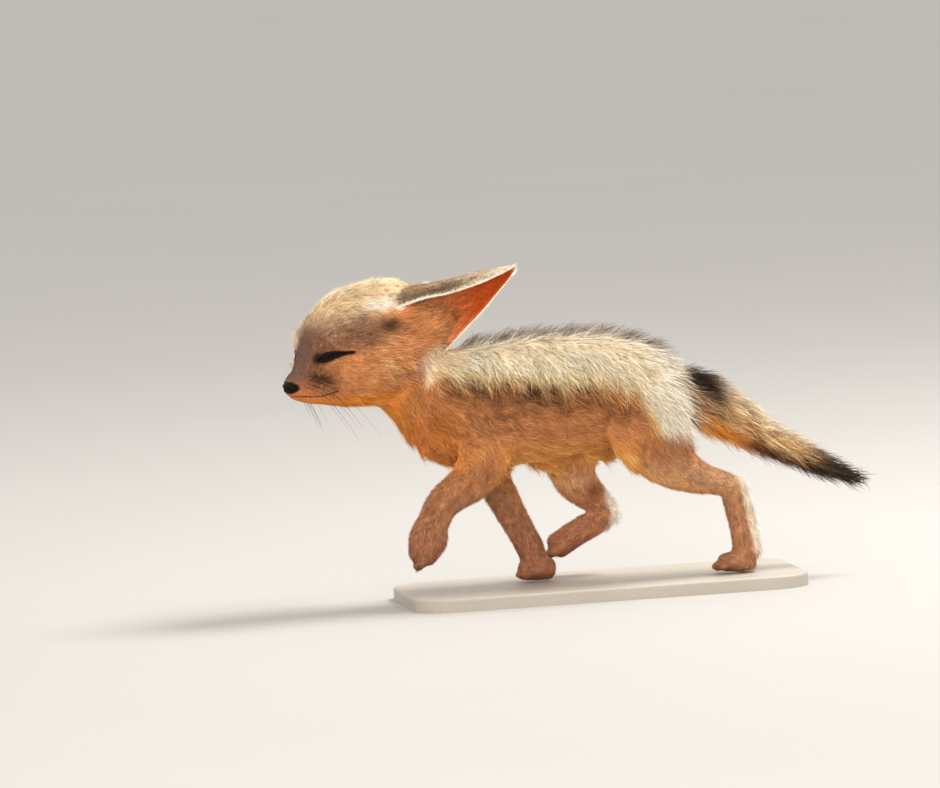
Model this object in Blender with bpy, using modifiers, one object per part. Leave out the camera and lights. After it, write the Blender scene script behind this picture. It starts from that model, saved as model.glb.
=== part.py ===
"""A fennec fox kit, life size, walking with its ears laid back, on a flat display base.

Metres, +Z up. The kit faces -X and its left side faces -Y. The origin is the centre of the
base's underside. Sizes below are written in millimetres and turned to metres by MM.
"""

import math
import random

import bmesh
import bpy
from mathutils import Matrix, Vector
from mathutils.bvhtree import BVHTree

MM = 0.001
GAP = 0.3  # clearance kept between neighbouring pieces
RING_SIDES = 24
SPAN_STEPS = 4  # rings made between two stations of a loft

# Display base
BASE_LENGTH = 240.0
BASE_WIDTH = 110.0
BASE_THICKNESS = 8.0
BASE_CORNER = 22.0
BASE_EDGE = 1.5
FLOOR = BASE_THICKNESS + GAP  # the level that the paws stand on

# Head: its own axes point to the nose, to the left cheek and to the crown
HEAD_CENTRE = Vector((-138.0, -8.0, 151.0 + FLOOR))
HEAD_TURN = 22.0  # degrees towards the left side
HEAD_PITCH = 5.0  # degrees, nose down

# A head station: distance forward, level of the widest point, half width, crown, throat
HEAD_STATIONS = [
    (-37.0, 2.0, 25.0, 29.0, -24.0),
    (-28.0, -3.0, 31.0, 36.0, -33.0),
    (-16.0, -9.0, 35.0, 39.0, -36.5),
    (-2.0, -12.0, 36.5, 38.0, -39.0),
    (11.0, -13.5, 35.0, 35.5, -37.5),
    (21.0, -11.5, 31.5, 31.5, -35.5),
    (29.0, -10.0, 27.0, 25.0, -33.0),
    (35.5, -10.0, 20.5, 15.5, -31.0),
    (41.5, -14.0, 14.5, 3.0, -29.5),
    (47.0, -15.5, 10.5, -5.0, -27.5),
    (52.0, -16.0, 8.0, -8.5, -25.0),
    (55.0, -16.5, 5.5, -11.5, -22.0),
]

# A body station: x, y, level of the widest point, half width, then height above and below it
NECK_STATIONS = [
    (-142.0, -8.0, 150.0, 31.0, 28.0, 28.0),
    (-126.0, -5.0, 140.0, 32.0, 29.0, 28.0),
    (-108.0, -2.0, 126.0, 32.5, 31.0, 28.5),
    (-92.0, 0.0, 114.0, 32.5, 33.0, 36.0),
]
TORSO_STATIONS = [
    (-101.0, 0.0, 104.0, 27.0, 30.0, 31.0),
    (-90.0, 0.0, 105.0, 31.0, 39.5, 37.0),
    (-76.0, 0.0, 106.0, 32.5, 42.5, 38.5),
    (-56.0, 0.0, 107.0, 34.0, 43.0, 40.5),
    (-34.0, 0.0, 108.0, 34.5, 43.5, 39.5),
    (-12.0, 0.0, 109.0, 34.0, 42.5, 37.5),
    (8.0, 0.0, 110.0, 33.0, 40.0, 36.5),
    (26.0, 0.0, 110.0, 31.5, 35.0, 33.5),
    (40.0, 0.0, 108.0, 28.0, 28.5, 27.5),
    (52.0, 0.0, 105.0, 21.0, 20.0, 20.0),
]

# A limb station: x, y, z of the middle, half width across, half depth fore and aft
LEFT_FORELEG = [
    (-71.0, -17.0, 112.0, 13.0, 20.0),
    (-69.0, -20.0, 95.0, 13.0, 19.5),
    (-71.0, -23.0, 78.0, 12.0, 17.0),
    (-79.0, -25.0, 67.5, 11.0, 14.5),
    (-89.0, -26.0, 61.0, 10.5, 12.5),
    (-98.0, -27.0, 54.0, 9.5, 11.0),
    (-104.5, -27.0, 43.0, 9.0, 10.5),
]
LEFT_FOREPAW = [
    (-105.0, -27.0, 42.0, 9.0, 10.5),
    (-108.0, -27.0, 33.0, 10.0, 12.0),
    (-111.5, -27.0, 24.5, 9.5, 9.5),
]
RIGHT_FORELEG = [
    (-72.0, 17.0, 108.0, 13.0, 20.0),
    (-66.0, 18.0, 86.0, 12.0, 16.5),
    (-60.0, 17.0, 66.0, 11.0, 12.5),
    (-52.5, 15.0, 48.0, 9.5, 10.5),
    (-45.0, 13.0, 32.0, 9.0, 9.5),
    (-39.5, 12.0, 20.0, 9.0, 9.5),
    (-37.0, 11.0, 11.0, 9.0, 9.0),
]
LEFT_HINDLEG = [
    (25.0, -15.0, 114.0, 14.0, 27.0),
    (28.0, -19.0, 97.0, 14.5, 26.5),
    (34.0, -21.0, 80.0, 14.0, 23.0),
    (45.0, -21.5, 67.0, 12.0, 16.0),
    (57.0, -21.0, 59.5, 10.0, 11.5),
    (69.0, -20.5, 55.5, 8.5, 9.0),
    (78.0, -20.0, 52.5, 8.0, 8.0),
]
LEFT_METATARSUS = [
    (79.0, -20.0, 53.0, 8.0, 8.5),
    (82.5, -20.0, 39.0, 7.5, 8.5),
    (85.0, -20.0, 25.0, 7.5, 8.5),
    (86.5, -20.0, 12.0, 8.5, 9.0),
]
RIGHT_HINDLEG = [
    (22.0, 15.0, 112.0, 14.0, 25.0),
    (8.0, 20.0, 94.0, 14.0, 23.0),
    (-8.0, 23.0, 79.0, 13.0, 23.5),
    (-9.5, 25.0, 65.0, 11.5, 16.5),
    (-4.0, 27.0, 54.0, 10.0, 13.0),
    (4.0, 28.5, 46.0, 8.5, 10.5),
    (11.0, 29.5, 38.5, 7.5, 8.5),
]
RIGHT_METATARSUS = [
    (13.0, 29.5, 37.5, 7.5, 8.0),
    (3.0, 30.0, 30.5, 7.5, 8.5),
    (-9.0, 31.0, 24.0, 7.5, 8.5),
    (-19.0, 31.5, 18.0, 8.0, 8.5),
]

# Tail: x, y, z, half width, half height
TAIL_STATIONS = [
    (46.0, 0.0, 112.0, 16.0, 17.0),
    (60.0, 0.0, 106.0, 16.5, 18.5),
    (73.0, 0.5, 98.0, 16.0, 18.5),
    (88.0, 1.0, 88.5, 14.5, 16.0),
    (106.0, 2.0, 77.5, 12.5, 13.5),
    (124.0, 3.0, 67.5, 11.0, 12.0),
    (142.0, 4.0, 58.0, 9.5, 10.0),
    (157.0, 4.5, 51.0, 6.5, 6.5),
]


def metres(x, y, z):
    """A point given in millimetres above the paws' floor."""
    return Vector((x, y, z + FLOOR)) * MM


def start_scene():
    for obj in list(bpy.data.objects):
        bpy.data.objects.remove(obj, do_unlink=True)
    parts = bpy.data.collections.new("fennec_fox")
    helpers = bpy.data.collections.new("cutters")
    for made in (parts, helpers):
        bpy.context.scene.collection.children.link(made)
    return parts, helpers


PARTS, HELPERS = start_scene()


def material(name, colour, roughness=0.9, metallic=0.0):
    made = bpy.data.materials.new(name)
    made.use_nodes = True
    shader = made.node_tree.nodes["Principled BSDF"]
    shader.inputs["Base Color"].default_value = (*colour, 1.0)
    shader.inputs["Roughness"].default_value = roughness
    shader.inputs["Metallic"].default_value = metallic
    return made


CREAM = material("cream_coat", (0.80, 0.66, 0.45))
SAND = material("sandy_coat", (0.67, 0.45, 0.28))
DARK = material("dark_coat", (0.10, 0.06, 0.04))
SKIN_PINK = material("ear_skin", (0.80, 0.45, 0.30))
NOSE_BLACK = material("nose_leather", (0.02, 0.02, 0.02), roughness=0.45)
EYE_BLACK = material("eye", (0.01, 0.01, 0.01), roughness=0.15)
BASE_PAINT = material("base_paint", (0.78, 0.74, 0.68), roughness=0.6)


def object_of(name, mesh, collection=HELPERS):
    made = bpy.data.objects.new(name, mesh)
    collection.objects.link(made)
    if collection is HELPERS:
        made.hide_render = True
        made.display_type = "WIRE"
    return made


def mesh_from(name, bm):
    bmesh.ops.recalc_face_normals(bm, faces=bm.faces)
    mesh = bpy.data.meshes.new(name)
    bm.to_mesh(mesh)
    bm.free()
    return mesh


def settle(obj):
    """Applies every modifier, as the viewport shows them."""
    bpy.context.view_layer.update()
    graph = bpy.context.evaluated_depsgraph_get()
    mesh = bpy.data.meshes.new_from_object(obj.evaluated_get(graph), depsgraph=graph)
    obj.modifiers.clear()
    obj.data = mesh
    return obj


def copy_of(obj, name):
    return object_of(name, obj.data.copy())


def remove(*objs):
    for obj in objs:
        bpy.data.objects.remove(obj, do_unlink=True)


def between(stations, steps=SPAN_STEPS):
    """Catmull-Rom values between stations, which are tuples of one length."""
    found = []
    last = len(stations) - 1
    for i in range(last):
        a, b = stations[max(i - 1, 0)], stations[i]
        c, d = stations[i + 1], stations[min(i + 2, last)]
        for k in range(steps):
            t = k / steps
            found.append(
                tuple(
                    0.5
                    * (
                        2 * q
                        + (r - p) * t
                        + (2 * p - 5 * q + 4 * r - s) * t**2
                        + (3 * q - p - 3 * r + s) * t**3
                    )
                    for p, q, r, s in zip(a, b, c, d)
                )
            )
    found.append(tuple(stations[-1]))
    return found


def skin_rings(name, rings):
    """A closed mesh over rings of points, with a pole at each end's centre."""
    bm = bmesh.new()
    rows = [[bm.verts.new(p) for p in ring] for ring in rings]
    for row, after in zip(rows, rows[1:]):
        if len(row) == 1 or len(after) == 1:
            pole, loop = (row[0], after) if len(row) == 1 else (after[0], row)
            for k in range(len(loop)):
                bm.faces.new((pole, loop[k], loop[(k + 1) % len(loop)]))
            continue
        for k in range(len(row)):
            n = (k + 1) % len(row)
            bm.faces.new((row[k], row[n], after[n], after[k]))
    return mesh_from(name, bm)


def oval(centre, side, up, half_width, above, below, count=RING_SIDES):
    points = []
    for k in range(count):
        turn = 2 * math.pi * k / count
        height = above if math.sin(turn) > 0 else below
        points.append(
            centre + side * half_width * math.cos(turn) + up * height * math.sin(turn)
        )
    return points


CAP_ANGLES = (35.0, 65.0)  # rings that round off each end of a loft


def loft(name, stations, cap_start=0.7, cap_end=0.7, place=metres, axes=None):
    """A tube of ovals along the stations (x, y, z, half width, above, below).

    Each end is a dome, cap_start or cap_end times as deep as its ring. The ovals are square to
    the path, or to the first of axes, which then are the ways along, across and up.
    """
    rows = between([s if len(s) == 6 else (*s, s[4]) for s in stations])
    centres = [place(*row[:3]) for row in rows]
    rings = []
    frames = []
    for i, row in enumerate(rows):
        along = (centres[min(i + 1, len(rows) - 1)] - centres[max(i - 1, 0)]).normalized()
        side = (Vector((0, 1, 0)) - along * along.y).normalized()
        up = side.cross(along)
        if up.z < 0:
            up = -up
        if axes:
            along, side, up = axes
        size = [v * MM for v in row[3:]]
        frames.append((along, side, up, size))
        rings.append(oval(centres[i], side, up, *size))
    for at_start, cap in ((True, cap_start), (False, cap_end)):
        i = 0 if at_start else -1
        along, side, up, size = frames[i]
        out = -along if at_start else along
        depth = cap * min(size)
        extra = []
        for angle in CAP_ANGLES:
            turn = math.radians(angle)
            middle = centres[i] + out * depth * math.sin(turn)
            extra.append(oval(middle, side, up, *[v * math.cos(turn) for v in size]))
        extra.append([centres[i] + out * depth])
        rings = extra[::-1] + rings if at_start else rings + extra
    return object_of(name, skin_rings(name, rings))


def head_axes():
    turn, pitch = math.radians(HEAD_TURN), math.radians(HEAD_PITCH)
    forward = Vector(
        (-math.cos(pitch) * math.cos(turn), -math.cos(pitch) * math.sin(turn), -math.sin(pitch))
    )
    left = Vector((math.sin(turn), -math.cos(turn), 0.0))
    return forward, left, forward.cross(left)


FORWARD, LEFT, CROWN = head_axes()


def on_head(x, y, z):
    """A point given in the head's own axes, in millimetres."""
    return (HEAD_CENTRE + FORWARD * x + LEFT * y + CROWN * z) * MM


def head_loft(name):
    stations = [
        (x, 0.0, level, half, crown - level, level - throat)
        for x, level, half, crown, throat in HEAD_STATIONS
    ]
    return loft(name, stations, 0.45, 0.75, place=on_head, axes=(FORWARD, LEFT, CROWN))


def paw(name, heel, toe, half_width, height):
    """The low loft of a paw that stands on the floor, from heel to toe."""
    (hx, hy), (tx, ty) = heel, toe
    middle = height * 0.5
    stations = [
        (hx, hy, middle, half_width * 0.8, middle, middle),
        ((hx + tx) / 2, (hy + ty) / 2, middle, half_width, middle, middle),
        (tx, ty, middle * 0.9, half_width * 0.95, middle * 0.8, middle * 0.9),
    ]
    return loft(name, stations, cap_start=0.6, cap_end=0.5)


def joined(name, objs):
    """One object holding the meshes of objs, which are removed."""
    bm = bmesh.new()
    for obj in objs:
        bm.from_mesh(obj.data)
    remove(*objs)
    mesh = bpy.data.meshes.new(name)
    bm.to_mesh(mesh)
    bm.free()
    return object_of(name, mesh)


def melt(obj, voxel, smoothing, triangles):
    """Fuses overlapping lofts into one skin, smooths their joins and thins the mesh."""
    remesh = obj.modifiers.new("fuse", "REMESH")
    remesh.mode = "VOXEL"
    remesh.voxel_size = voxel * MM
    smooth = obj.modifiers.new("smooth", "SMOOTH")
    smooth.factor = 0.5
    smooth.iterations = smoothing
    settle(obj)
    faces = 2 * len(obj.data.polygons)
    thin = obj.modifiers.new("thin", "DECIMATE")
    thin.ratio = min(1.0, triangles / faces)
    return settle(obj)


def boolean(target, cutter, operation, solver="MANIFOLD"):
    step = target.modifiers.new(operation.lower(), "BOOLEAN")
    step.operation = operation
    step.object = cutter
    step.solver = solver
    return settle(target)


def keep_largest(obj):
    """Drops every closed surface of obj but the one that holds most."""
    bm = bmesh.new()
    bm.from_mesh(obj.data)
    left = set(bm.faces)
    shells = []
    while left:
        seed = left.pop()
        shell, edge = {seed}, [seed]
        while edge:
            face = edge.pop()
            for link in face.edges:
                for near in link.link_faces:
                    if near in left:
                        left.discard(near)
                        shell.add(near)
                        edge.append(near)
        shells.append(shell)
    if len(shells) > 1:
        def bulk(shell):
            total = 0.0
            for face in shell:
                first = face.verts[0].co
                for a, b in zip(face.verts[1:], face.verts[2:]):
                    total += first.dot(a.co.cross(b.co))
            return abs(total)

        best = max(shells, key=bulk)
        doomed = [f for shell in shells if shell is not best for f in shell]
        bmesh.ops.delete(bm, geom=doomed, context="FACES")
    bm.to_mesh(obj.data)
    bm.free()
    return obj


def cell(name, planes, grow=0.0):
    """A closed convex region behind every plane, each a point and its outward direction.

    grow moves each plane outwards, in millimetres.
    """
    bm = bmesh.new()
    bmesh.ops.create_cube(bm, size=1.2)
    for point, normal in planes:
        outward = Vector(normal).normalized()
        cut = bmesh.ops.bisect_plane(
            bm,
            geom=bm.verts[:] + bm.edges[:] + bm.faces[:],
            dist=1e-7,
            plane_co=metres(*point) + outward * grow * MM,
            plane_no=outward,
            clear_outer=True,
        )
        rim = [e for e in cut["geom_cut"] if isinstance(e, bmesh.types.BMEdge)]
        bmesh.ops.holes_fill(bm, edges=rim, sides=0)
    return object_of(name, mesh_from(name, bm))


def split_off(whole, name, planes):
    """Takes the region behind the planes out of whole, with a gap, as an object of its own."""
    inside = cell("inside", planes, grow=-GAP / 2)
    outside = cell("outside", planes, grow=GAP / 2)
    piece = keep_largest(boolean(copy_of(whole, name), inside, "INTERSECT"))
    keep_largest(boolean(whole, outside, "DIFFERENCE"))
    remove(inside, outside)
    return piece


def publish(obj, name, look):
    """Makes obj a node of the part."""
    HELPERS.objects.unlink(obj)
    PARTS.objects.link(obj)
    obj.name = name
    obj.hide_render = False
    obj.display_type = "TEXTURED"
    obj.data.materials.clear()
    obj.data.materials.append(look)
    obj.data.shade_smooth()
    return obj


def stand_base():
    bm = bmesh.new()
    bmesh.ops.create_cube(bm, size=1.0)
    size = Vector((BASE_LENGTH, BASE_WIDTH, BASE_THICKNESS)) * MM
    bmesh.ops.scale(bm, vec=size, verts=bm.verts)
    bmesh.ops.translate(bm, vec=(0, 0, size.z / 2), verts=bm.verts)
    upright = [e for e in bm.edges if abs(e.verts[0].co.z - e.verts[1].co.z) > size.z / 2]
    bmesh.ops.bevel(
        bm, geom=upright, offset=BASE_CORNER * MM, segments=8, profile=0.5, affect="EDGES"
    )
    top = [
        e
        for e in bm.edges
        if all(v.co.z > size.z * 0.99 for v in e.verts)
        and any(abs(f.normal.z) < 0.5 for f in e.link_faces)
    ]
    bmesh.ops.bevel(
        bm, geom=top, offset=BASE_EDGE * MM, segments=3, profile=0.5, affect="EDGES"
    )
    obj = object_of("stand_base", mesh_from("stand_base", bm))
    return publish(obj, "stand_base", BASE_PAINT)


# Four legs: lofts, then the planes round the leg where it leaves the body
LEGS = {
    "foreleg_right": {
        "lofts": [RIGHT_FORELEG],
        "root": [
            ((0, 1.0, 10.0), (0, -0.99, 0.13)),
            ((-62.0, 18.0, 87.0), (-0.1, 0.4, 0.9)),
            ((-84.0, 20.0, 80.0), (-0.9, 0.0, 0.44)),
            ((-44.0, 20.0, 76.0), (0.9, 0.0, 0.44)),
            ((-40.0, 22.5, 12.0), (0.0, 0.98, -0.195)),
        ],
        "cuts": [((-60.0, 17.0, 66.0), (0.35, 0.0, -0.94)), ((-41.0, 12.0, 21.0), (0.2, 0, -1))],
    },
    "foreleg_left": {
        "lofts": [LEFT_FORELEG, LEFT_FOREPAW],
        "root": [
            ((0, -9.0, 0), (0, 1, 0)),
            ((-92.0, -18.0, 76.0), (-0.45, -0.35, 0.82)),
            ((-51.0, -20.0, 84.0), (0.8, 0.0, 0.6)),
        ],
        "cuts": [((-81.0, -25.0, 66.0), (-0.75, 0, -0.66)), ((-105.0, -27.0, 41.0), (-0.2, 0, -1))],
    },
    "hindleg_right": {
        "lofts": [RIGHT_HINDLEG, RIGHT_METATARSUS],
        "root": [
            ((0, 5.0, 0), (0, -1, 0)),
            ((0.0, 20.0, 93.0), (0.3, 0.25, 0.92)),
            ((-24.0, 20.0, 73.0), (-0.7, 0.0, 0.7)),
        ],
        "cuts": [((-9.0, 24.0, 62.0), (0.45, 0, -0.9)), ((5.0, 29.0, 34.0), (-0.85, 0, -0.5))],
    },
    "hindleg_left": {
        "lofts": [LEFT_HINDLEG, LEFT_METATARSUS],
        "root": [
            ((0, -6.0, 0), (0, 1, 0)),
            ((62.0, -20.0, 79.5), (0.38, -0.25, 0.89)),
            ((8.0, -20.0, 82.0), (-0.85, 0.0, 0.5)),
        ],
        "cuts": [((50.0, -21.0, 63.5), (0.85, 0, -0.5)), ((81.0, -20.0, 46.0), (0.2, 0, -1))],
    },
}

# Where the trunk is parted: a point and the direction away from the torso
TAIL_ROOT = ((58.0, 0.0, 102.0), (0.936, 0.0, 0.35))
TAIL_MIDDLE = ((92.0, 1.0, 87.0), (0.85, 0.0, -0.52))
TAIL_END = ((130.0, 3.0, 64.0), (0.85, 0.0, -0.52))
NECK_ROOT = ((-104.7, 0.0, 133.5), (-0.80, -0.05, 0.60))
HEAD_ROOT = ((-98.6, 0.0, 156.3), (-0.76, -0.15, 0.63))
LOIN = ((-24.0, 0.0, 0.0), (1.0, 0.0, 0.0))

# Paws: the middle of the knuckles, the way they point and their size
PAWS = {
    "foreleg_right": ((-44.0, 9.0, 4.8), (-1.0, 0.0, -0.1), 4.2),
    "hindleg_left": ((70.5, -20.0, 4.6), (-1.0, 0.0, -0.1), 4.2),
    "foreleg_left": ((-113.5, -27.0, 20.0), (-0.45, 0.0, -0.9), 4.2),
    "hindleg_right": ((-22.0, 31.5, 14.5), (-0.9, 0.0, -0.45), 4.0),
}
CLAW_LENGTH = 3.2
CLAW_RADIUS = 0.8


def knuckles(tag):
    """Four toes in an arc, as a middle and a direction for each."""
    (x, y, z), forward, size = PAWS[tag]
    ahead = Vector(forward).normalized()
    for k in range(4):
        aside = (k - 1.5) * size * 0.92
        lead = size * 0.5 if k in (1, 2) else 0.0
        middle = metres(x, y + aside, z) + ahead * lead * MM
        yield k, middle, (ahead + Vector((0, aside * 0.02, 0))).normalized()


def toes(tag):
    size = PAWS[tag][2]
    made = []
    for k, middle, _ in knuckles(tag):
        bm = bmesh.new()
        bmesh.ops.create_uvsphere(bm, u_segments=12, v_segments=8, radius=size * 0.72 * MM)
        bmesh.ops.translate(bm, vec=middle, verts=bm.verts)
        made.append(object_of(f"{tag}_toe_{k}", mesh_from(f"{tag}_toe_{k}", bm)))
    return made


def claws(tag):
    size = PAWS[tag][2]
    made = []
    for k, middle, ahead in knuckles(tag):
        bm = bmesh.new()
        bmesh.ops.create_cone(
            bm,
            cap_ends=True,
            segments=5,
            radius1=CLAW_RADIUS * MM,
            radius2=0.2 * MM,
            depth=CLAW_LENGTH * MM,
        )
        turn = Vector((0, 0, 1)).rotation_difference(ahead).to_matrix().to_4x4()
        centre = middle + ahead * (size * 0.72 + CLAW_LENGTH * 0.15) * MM
        bmesh.ops.transform(bm, matrix=Matrix.Translation(centre) @ turn, verts=bm.verts)
        made.append(object_of(f"{tag}_claw_{k}", mesh_from(f"{tag}_claw_{k}", bm)))
    return made


def ball(name, centre, radii, axes, grow=0.0):
    """An ellipsoid with its radii along three axes."""
    bm = bmesh.new()
    bmesh.ops.create_uvsphere(bm, u_segments=12, v_segments=8, radius=1.0)
    turn = Matrix((axes[0], axes[1], axes[2])).transposed().to_4x4()
    sizes = Matrix.Diagonal([(r + grow) * MM for r in radii] + [1.0])
    bmesh.ops.transform(bm, matrix=Matrix.Translation(centre) @ turn @ sizes, verts=bm.verts)
    return object_of(name, mesh_from(name, bm))


BROW = ((26.5, 14.0, 3.5), (12.3, 11.0, 14.6))


def brow(side):
    (x, y, z), radii = BROW
    return ball("brow", on_head(x, y * side, z), radii, (FORWARD, LEFT, CROWN))


def body_skin():
    """The whole animal but for its ears, eyes and nose, in one fused mesh."""
    lofts = [
        loft("torso", TORSO_STATIONS, cap_start=0.5, cap_end=0.6),
        loft("neck", NECK_STATIONS, cap_start=0.3, cap_end=0.3),
        head_loft("head"),
        loft("tail", TAIL_STATIONS, cap_start=0.3, cap_end=1.6),
        brow(1),
        brow(-1),
        paw("forepaw_right", (-29.0, 10.0), (-44.5, 9.0), 9.5, 15.0),
        paw("hindpaw_left", (88.0, -20.0), (72.0, -20.0), 9.0, 14.0),
    ]
    for tag, leg in LEGS.items():
        lofts += [loft(f"{tag}_{i}", stations) for i, stations in enumerate(leg["lofts"])]
        lofts += toes(tag)
    skin = melt(joined("skin", lofts), voxel=1.6, smoothing=5, triangles=SKIN_TRIANGLES)
    below = cell("below", [((0, 0, 0.0), (0, 0, 1))])
    boolean(skin, below, "DIFFERENCE")
    remove(below)
    return keep_largest(skin)


SKIN_TRIANGLES = 4500


class Surface:
    """Finds points on a mesh."""

    def __init__(self, obj):
        bm = bmesh.new()
        bm.from_mesh(obj.data)
        self.tree = BVHTree.FromBMesh(bm)
        bm.free()

    def hit(self, origin, direction):
        place, normal, _, _ = self.tree.ray_cast(origin, direction.normalized())
        return place, normal

    def near(self, point):
        place, normal, _, _ = self.tree.find_nearest(point)
        return place, normal


# Rings of a lock: how far along each lies, and its width, thickness and height there
LOCK_RINGS = ((0.0, 0.6, 0.8, -1.0), (0.35, 1.0, 1.0, 0.12), (0.7, 0.75, 0.7, 0.55))
LOCK_SUNK = 2.6
LOCK_SEED = 7

# Rows of locks on the trunk's sides: first x, last x, step, level, lie, length, width, lift
SIDE_ROWS = [
    (-82.0, 30.0, 14.0, 143.0, (0.5, 0, -1.0), 18.0, 11.5, 2.4),
    (-92.0, 38.0, 10.0, 131.0, (0.3, 0, -1.0), 19.0, 11.5, 3.4),
    (46.0, 50.0, 4.0, 122.0, (0.3, 0, -1.0), 17.0, 9.0, 2.6),
    (44.0, 49.0, 5.0, 108.0, (0.3, 0, -1.0), 16.0, 9.0, 2.6),
]
SPINE_ROW = (-84.0, 44.0, 8.0)
TAIL_AXIS = ((54.0, 0.0, 108.0), (157.0, 4.5, 51.0))
TAIL_RINGS = (0.14, 0.32, 0.5, 0.68, 0.85)
PROBE = 150.0  # how far outside the body the search for a root starts

# Length, width and lift of the locks of each kind
SPINE_LOCK = (13.0, 5.5, 4.2)
TAIL_LOCK = (20.0, 8.5, 2.4)
TAIL_NARROWS = 3.0
CHEEK_LOCK = (15.0, 8.5, 2.2)
CROWN_LOCK = (13.0, 6.5, 1.3)
CHEST_LOCK = (13.0, 7.5, 2.0)
HEEL_LOCK = (10.0, 6.0, 2.2)

# Where they grow: on the head in its own axes, on the chest by x and y, on the heels by y and z
CHEEK_LOCKS = [(-10, -4), (-12, -14), (-11, -24), (-7, -32), (-24, -9), (-25, -20), (-20, -30)]
CROWN_LOCKS = [(-14, 6), (-14, -6), (-23, 1)]
CHEST_LOCKS = [(-117, 1), (-111, 8), (-109, -7), (-103, 3), (-98, -6)]
HEEL_LOCKS = [
    (-20.0, 50.0), (-20.0, 40.0), (-20.0, 30.0), (-20.0, 20.0), (29.0, 53.0), (29.5, 44.0),
]


def lock(skin, root, lie, length, width, lift, dice):
    """A flat tapered lock that follows the skin from its sunk root to its lifted tip."""
    length *= dice.uniform(0.85, 1.2)
    width *= dice.uniform(0.85, 1.15)
    lift *= dice.uniform(0.75, 1.25)
    thick = 0.5 * width
    _, facing = skin.near(root)
    lie = (lie - facing * lie.dot(facing)).normalized()
    lie = Matrix.Rotation(math.radians(dice.uniform(-13, 13)), 3, facing) @ lie
    rings = []
    for t, wide, deep, height in LOCK_RINGS:
        place, normal = skin.near(root + lie * length * t * MM)
        side = normal.cross(lie).normalized()
        rise = height * (LOCK_SUNK if height < 0 else lift)
        middle = place + normal * rise * MM
        half = side * wide * width * 0.5 * MM
        up = normal * deep * thick * 0.5 * MM
        rings.append([middle + half, middle + up, middle - half])
    place, normal = skin.near(root + lie * length * MM)
    root_middle = (rings[0][0] + rings[0][2]) / 2
    rings = [[root_middle - lie * MM]] + rings + [[place + normal * lift * MM]]
    return rings


def lock_roots(skin, dice):
    """Where each lock grows: a point on the skin, its lie, length, width and lift."""

    def from_side(x, z, side):
        return skin.hit(metres(x, PROBE * side, z), Vector((0, -side, 0)))[0]

    for first, last, step, level, lie, length, width, lift in SIDE_ROWS:
        count = int(round((last - first) / step)) + 1
        for side in (1, -1):
            for k in range(count):
                x = first + step * k + dice.uniform(-2, 2)
                place = from_side(x, level + dice.uniform(-2, 2), side)
                yield place, Vector(lie), length, width, lift
    first, last, step = SPINE_ROW
    for k in range(int(round((last - first) / step)) + 1):
        above = metres(first + step * k, dice.uniform(-4, 4), 2 * PROBE)
        yield skin.hit(above, Vector((0, 0, -1)))[0], Vector((1, 0, 0)), *SPINE_LOCK
    start, end = (metres(*p) for p in TAIL_AXIS)
    along = (end - start).normalized()
    flat = along.cross(Vector((0, 1, 0))).normalized()
    for i, t in enumerate(TAIL_RINGS):
        middle = start.lerp(end, t)
        for k in range(6):
            turn = math.radians(60 * k + 30 * (i % 2))
            out = Vector((0, 1, 0)) * math.cos(turn) + flat * math.sin(turn)
            place, _ = skin.hit(middle + out * 35 * MM, -out)
            length, width, lift = TAIL_LOCK
            yield place, along, length, width - TAIL_NARROWS * t, lift
    for side in (1, -1):
        for x, z in CHEEK_LOCKS:
            place, _ = skin.hit(on_head(x, 70.0 * side, z), -LEFT * side)
            yield place, -FORWARD - CROWN * 0.45, *CHEEK_LOCK
    for x, y in CROWN_LOCKS:
        place, _ = skin.hit(on_head(x, y, 80.0), -CROWN)
        yield place, -FORWARD, *CROWN_LOCK
    for x, y in CHEST_LOCKS:
        aim = Vector((0.7, 0.0, 0.7))
        place, _ = skin.hit(metres(x, y, 90.0) - aim * 60 * MM, aim)
        yield place, Vector((0.7, 0.0, -0.7)), *CHEST_LOCK
    for y, z in HEEL_LOCKS:
        behind = 110.0 if y < 0 else 40.0  # the left heel lies further back
        place, _ = skin.hit(metres(behind, y, z), Vector((-1, 0, 0)))
        yield place, Vector((0.25, 0, -1)), *HEEL_LOCK


def add_locks(skin):
    """Fuses every lock and claw with the skin in one step."""
    surface = Surface(skin)
    dice = random.Random(LOCK_SEED)
    tufts = bpy.data.collections.new("tufts")
    bpy.context.scene.collection.children.link(tufts)
    for i, (place, lie, length, width, lift) in enumerate(lock_roots(surface, dice)):
        if place is None:
            print("no skin for lock", i)
            continue
        rings = lock(surface, place, lie, length, width, lift, dice)
        object_of(f"lock_{i}", skin_rings(f"lock_{i}", rings), tufts)
    for tag in LEGS:
        for claw in claws(tag):
            HELPERS.objects.unlink(claw)
            tufts.objects.link(claw)
    step = skin.modifiers.new("fuse", "BOOLEAN")
    step.operation = "UNION"
    step.operand_type = "COLLECTION"
    step.collection = tufts
    step.solver = "MANIFOLD"
    settle(skin)
    remove(*tufts.objects)
    bpy.data.collections.remove(tufts)
    return keep_largest(skin)


def tube(name, path, across, radii, sides=8):
    """A closed tube along path. radii holds its half width across and its half depth."""
    rings = []
    for i, point in enumerate(path):
        along = (path[min(i + 1, len(path) - 1)] - path[max(i - 1, 0)]).normalized()
        side = (across[i] - along * across[i].dot(along)).normalized()
        depth = along.cross(side)
        wide, deep = radii[i]
        ring = []
        for k in range(sides):
            turn = 2 * math.pi * k / sides
            ring.append(
                point + (side * wide * math.cos(turn) + depth * deep * math.sin(turn)) * MM
            )
        rings.append(ring)
    rings = [[path[0]]] + rings[1:-1] + [[path[-1]]]
    return object_of(name, skin_rings(name, rings))


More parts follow.
